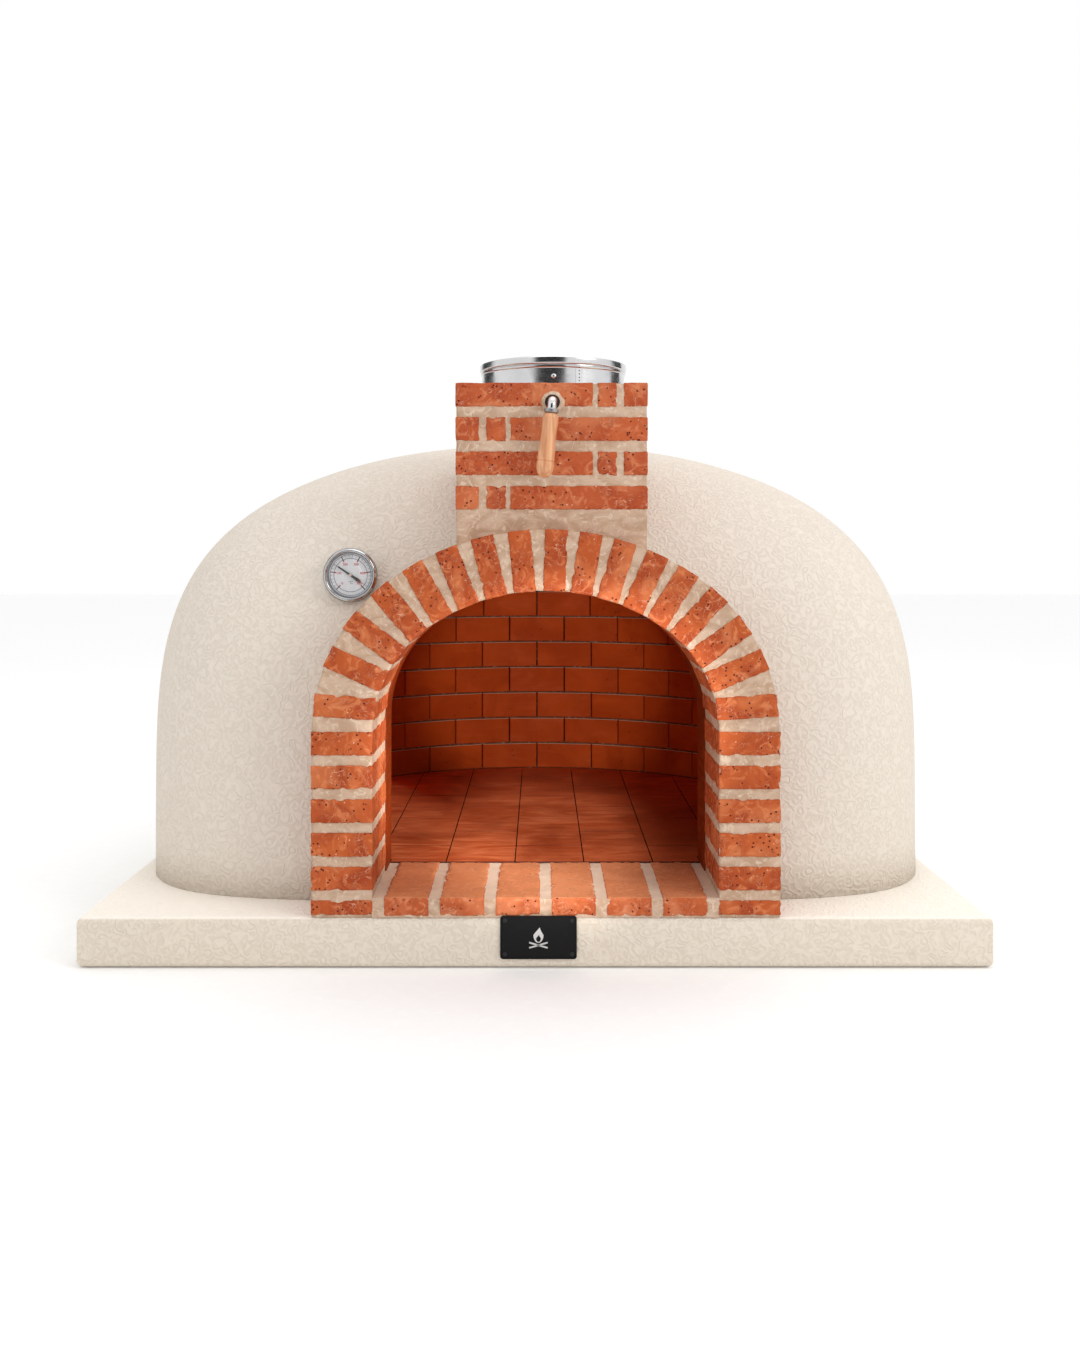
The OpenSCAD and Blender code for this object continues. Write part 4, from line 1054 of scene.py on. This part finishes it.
def hang(name, lamp, place, target):
    """Puts a lamp in the scene, aimed from its place at a target."""
    holder = bpy.data.objects.new(name, lamp)
    holder.location = place
    aim = Vector(target) - Vector(place)
    holder.rotation_euler = aim.to_track_quat("-Z", "Y").to_euler()
    bpy.context.scene.collection.objects.link(holder)


def area_light(name, place, target, size, power, tint=(1.0, 1.0, 1.0)):
    lamp = bpy.data.lights.new(name, "AREA")
    lamp.shape = "RECTANGLE"
    lamp.size, lamp.size_y = size
    lamp.energy = power
    lamp.color = tint
    hang(name, lamp, place, target)


def spot_light(name, place, target, cone, blend, power):
    """A narrow, hard-edged light for the inside of the mouth."""
    lamp = bpy.data.lights.new(name, "SPOT")
    lamp.energy = power
    lamp.spot_size = math.radians(cone)
    lamp.spot_blend = blend
    lamp.shadow_soft_size = SPOT_SOURCE
    lamp.color = (1.0, 0.97, 0.93)
    hang(name, lamp, place, target)


def studio():
    floor = bpy.data.meshes.new("studio_floor")
    corners = [(x * FLOOR_HALF, y * FLOOR_HALF, 0) for x, y in ((-1, -1), (1, -1), (1, 1), (-1, 1))]
    floor.from_pydata(corners, [], [(0, 1, 2, 3)])
    floor.materials.append(FINISHES["floor"])
    holder = bpy.data.objects.new("studio_floor", floor)
    holder.location.z = -0.0005
    bpy.context.scene.collection.objects.link(holder)
    middle = (0, 0, 0.4)
    area_light("key", (3.0, -2.6, 2.4), middle, (1.4, 1.4), 34, (1.0, 0.985, 0.96))
    area_light("top", (0.3, -0.2, 3.4), middle, (2.4, 2.4), 20)
    spot_light("chamber", (0.05, -3.5, 0.40), (0.008, 0.3, 0.275), 7.6, 0.25, 172)
    spot_light("hearth", (0.10, -3.3, 1.20), (0.014, -0.24, 0.098), 6.3, 0.5, 520)
    spot_light("reveal", (1.5, -2.7, 0.75), (-0.10, -0.42, 0.27), 7.8, 0.15, 620)
    for k, (turn, width) in enumerate(((-4, 2.6), (-122, 2.4), (112, 1.8))):
        flag(f"studio_flag_{k}", turn, width)
    world = bpy.data.worlds.new("studio")
    bpy.context.scene.world = world
    world.use_nodes = True
    nodes = world.node_tree.nodes
    nodes["Background"].inputs["Strength"].default_value = 1.0
    nodes["Background"].inputs["Color"].default_value = (1.0, 1.0, 1.0, 1.0)


def flag(name, turn, width):
    """A dark card that only mirrors see, so that bright metal shows dark bands."""
    angle = math.radians(turn)
    middle = Vector((math.sin(angle) * CARD_AWAY, -math.cos(angle) * CARD_AWAY, 1.3))
    side = Vector((math.cos(angle), math.sin(angle), 0)) * width / 2
    up = Vector((0, 0, 1.25))
    card = bpy.data.meshes.new(name)
    card.from_pydata([middle - side - up, middle + side - up, middle + side + up, middle - side + up],
                     [], [(0, 1, 2, 3)])
    card.materials.append(FINISHES["black_iron"])
    holder = bpy.data.objects.new(name, card)
    bpy.context.scene.collection.objects.link(holder)
    holder.visible_camera = False
    holder.visible_diffuse = False
    holder.visible_shadow = False


def camera():
    lens = bpy.data.cameras.new("camera")
    lens.sensor_width = 36
    lens.lens = CAMERA_LENS
    lens.shift_y = CAMERA_SHIFT
    lens.clip_end = 60
    holder = bpy.data.objects.new("camera", lens)
    holder.location = (CAMERA_X, FRONT - CAMERA_AWAY, CAMERA_HEIGHT)
    holder.rotation_euler = (math.pi / 2, 0, 0)
    bpy.context.scene.collection.objects.link(holder)
    bpy.context.scene.camera = holder


camera()
studio()
base_slab()
outer_dome()
arch_mortar()
threshold_mortar()
chimney_mortar()
flue_ring()
flue_trim()
damper_handle()
bush_pointing()
gauge_bezel()
gauge_face()
gauge_pointer()
plaque_emblem()

for node in ("arch_leg_left", "arch_leg_right", "arch_bricks_left", "arch_bricks_right",
             "arch_crown_bricks", "arch_keystone"):
    brick_piece(node, "arch_brick")
brick_piece("threshold_bricks", "threshold_brick")
for k in range(1, 5):
    brick_piece(f"chimney_course_{k}", "chimney_brick")
for k in range(1, 8):
    crisp_piece(f"dome_course_{k}", "dome_brick")
for k in range(1, 6):
    crisp_piece(f"crown_course_{k}", "dome_brick")

KEPT = {
    "dome_brick": ("dome_footing", "crown_plug"),
    # The throat takes the painted-shade finish.
    "throat_painted_shade": ("throat_left", "throat_right", "throat_crown"),
    "cast": ("dome_beds", "hearth_bedding", "insulation_blanket"),
    "board": ("hearth_board",),
    "hearth": ("hearth_tiles_a", "hearth_tiles_b"),
    "plate_steel": ("flue_pipe", "damper_plate", "handle_ferrule"),
    "steel": ("damper_spindle", "damper_screws", "gauge_stem", "gauge_sleeve"),
    "chrome": ("gauge_case",),
    "black_iron": ("damper_bush", "plaque_screws"),
    "glass": ("gauge_glass",),
    "dial": ("gauge_dial",),
    "plaque_black": ("plaque",),
}
for finish, nodes in KEPT.items():
    for node in nodes:
        frame["nodes"][node].data.materials.clear()
        frame["nodes"][node].data.materials.append(FINISHES[finish])

bpy.context.scene.view_settings.view_transform = "Standard"
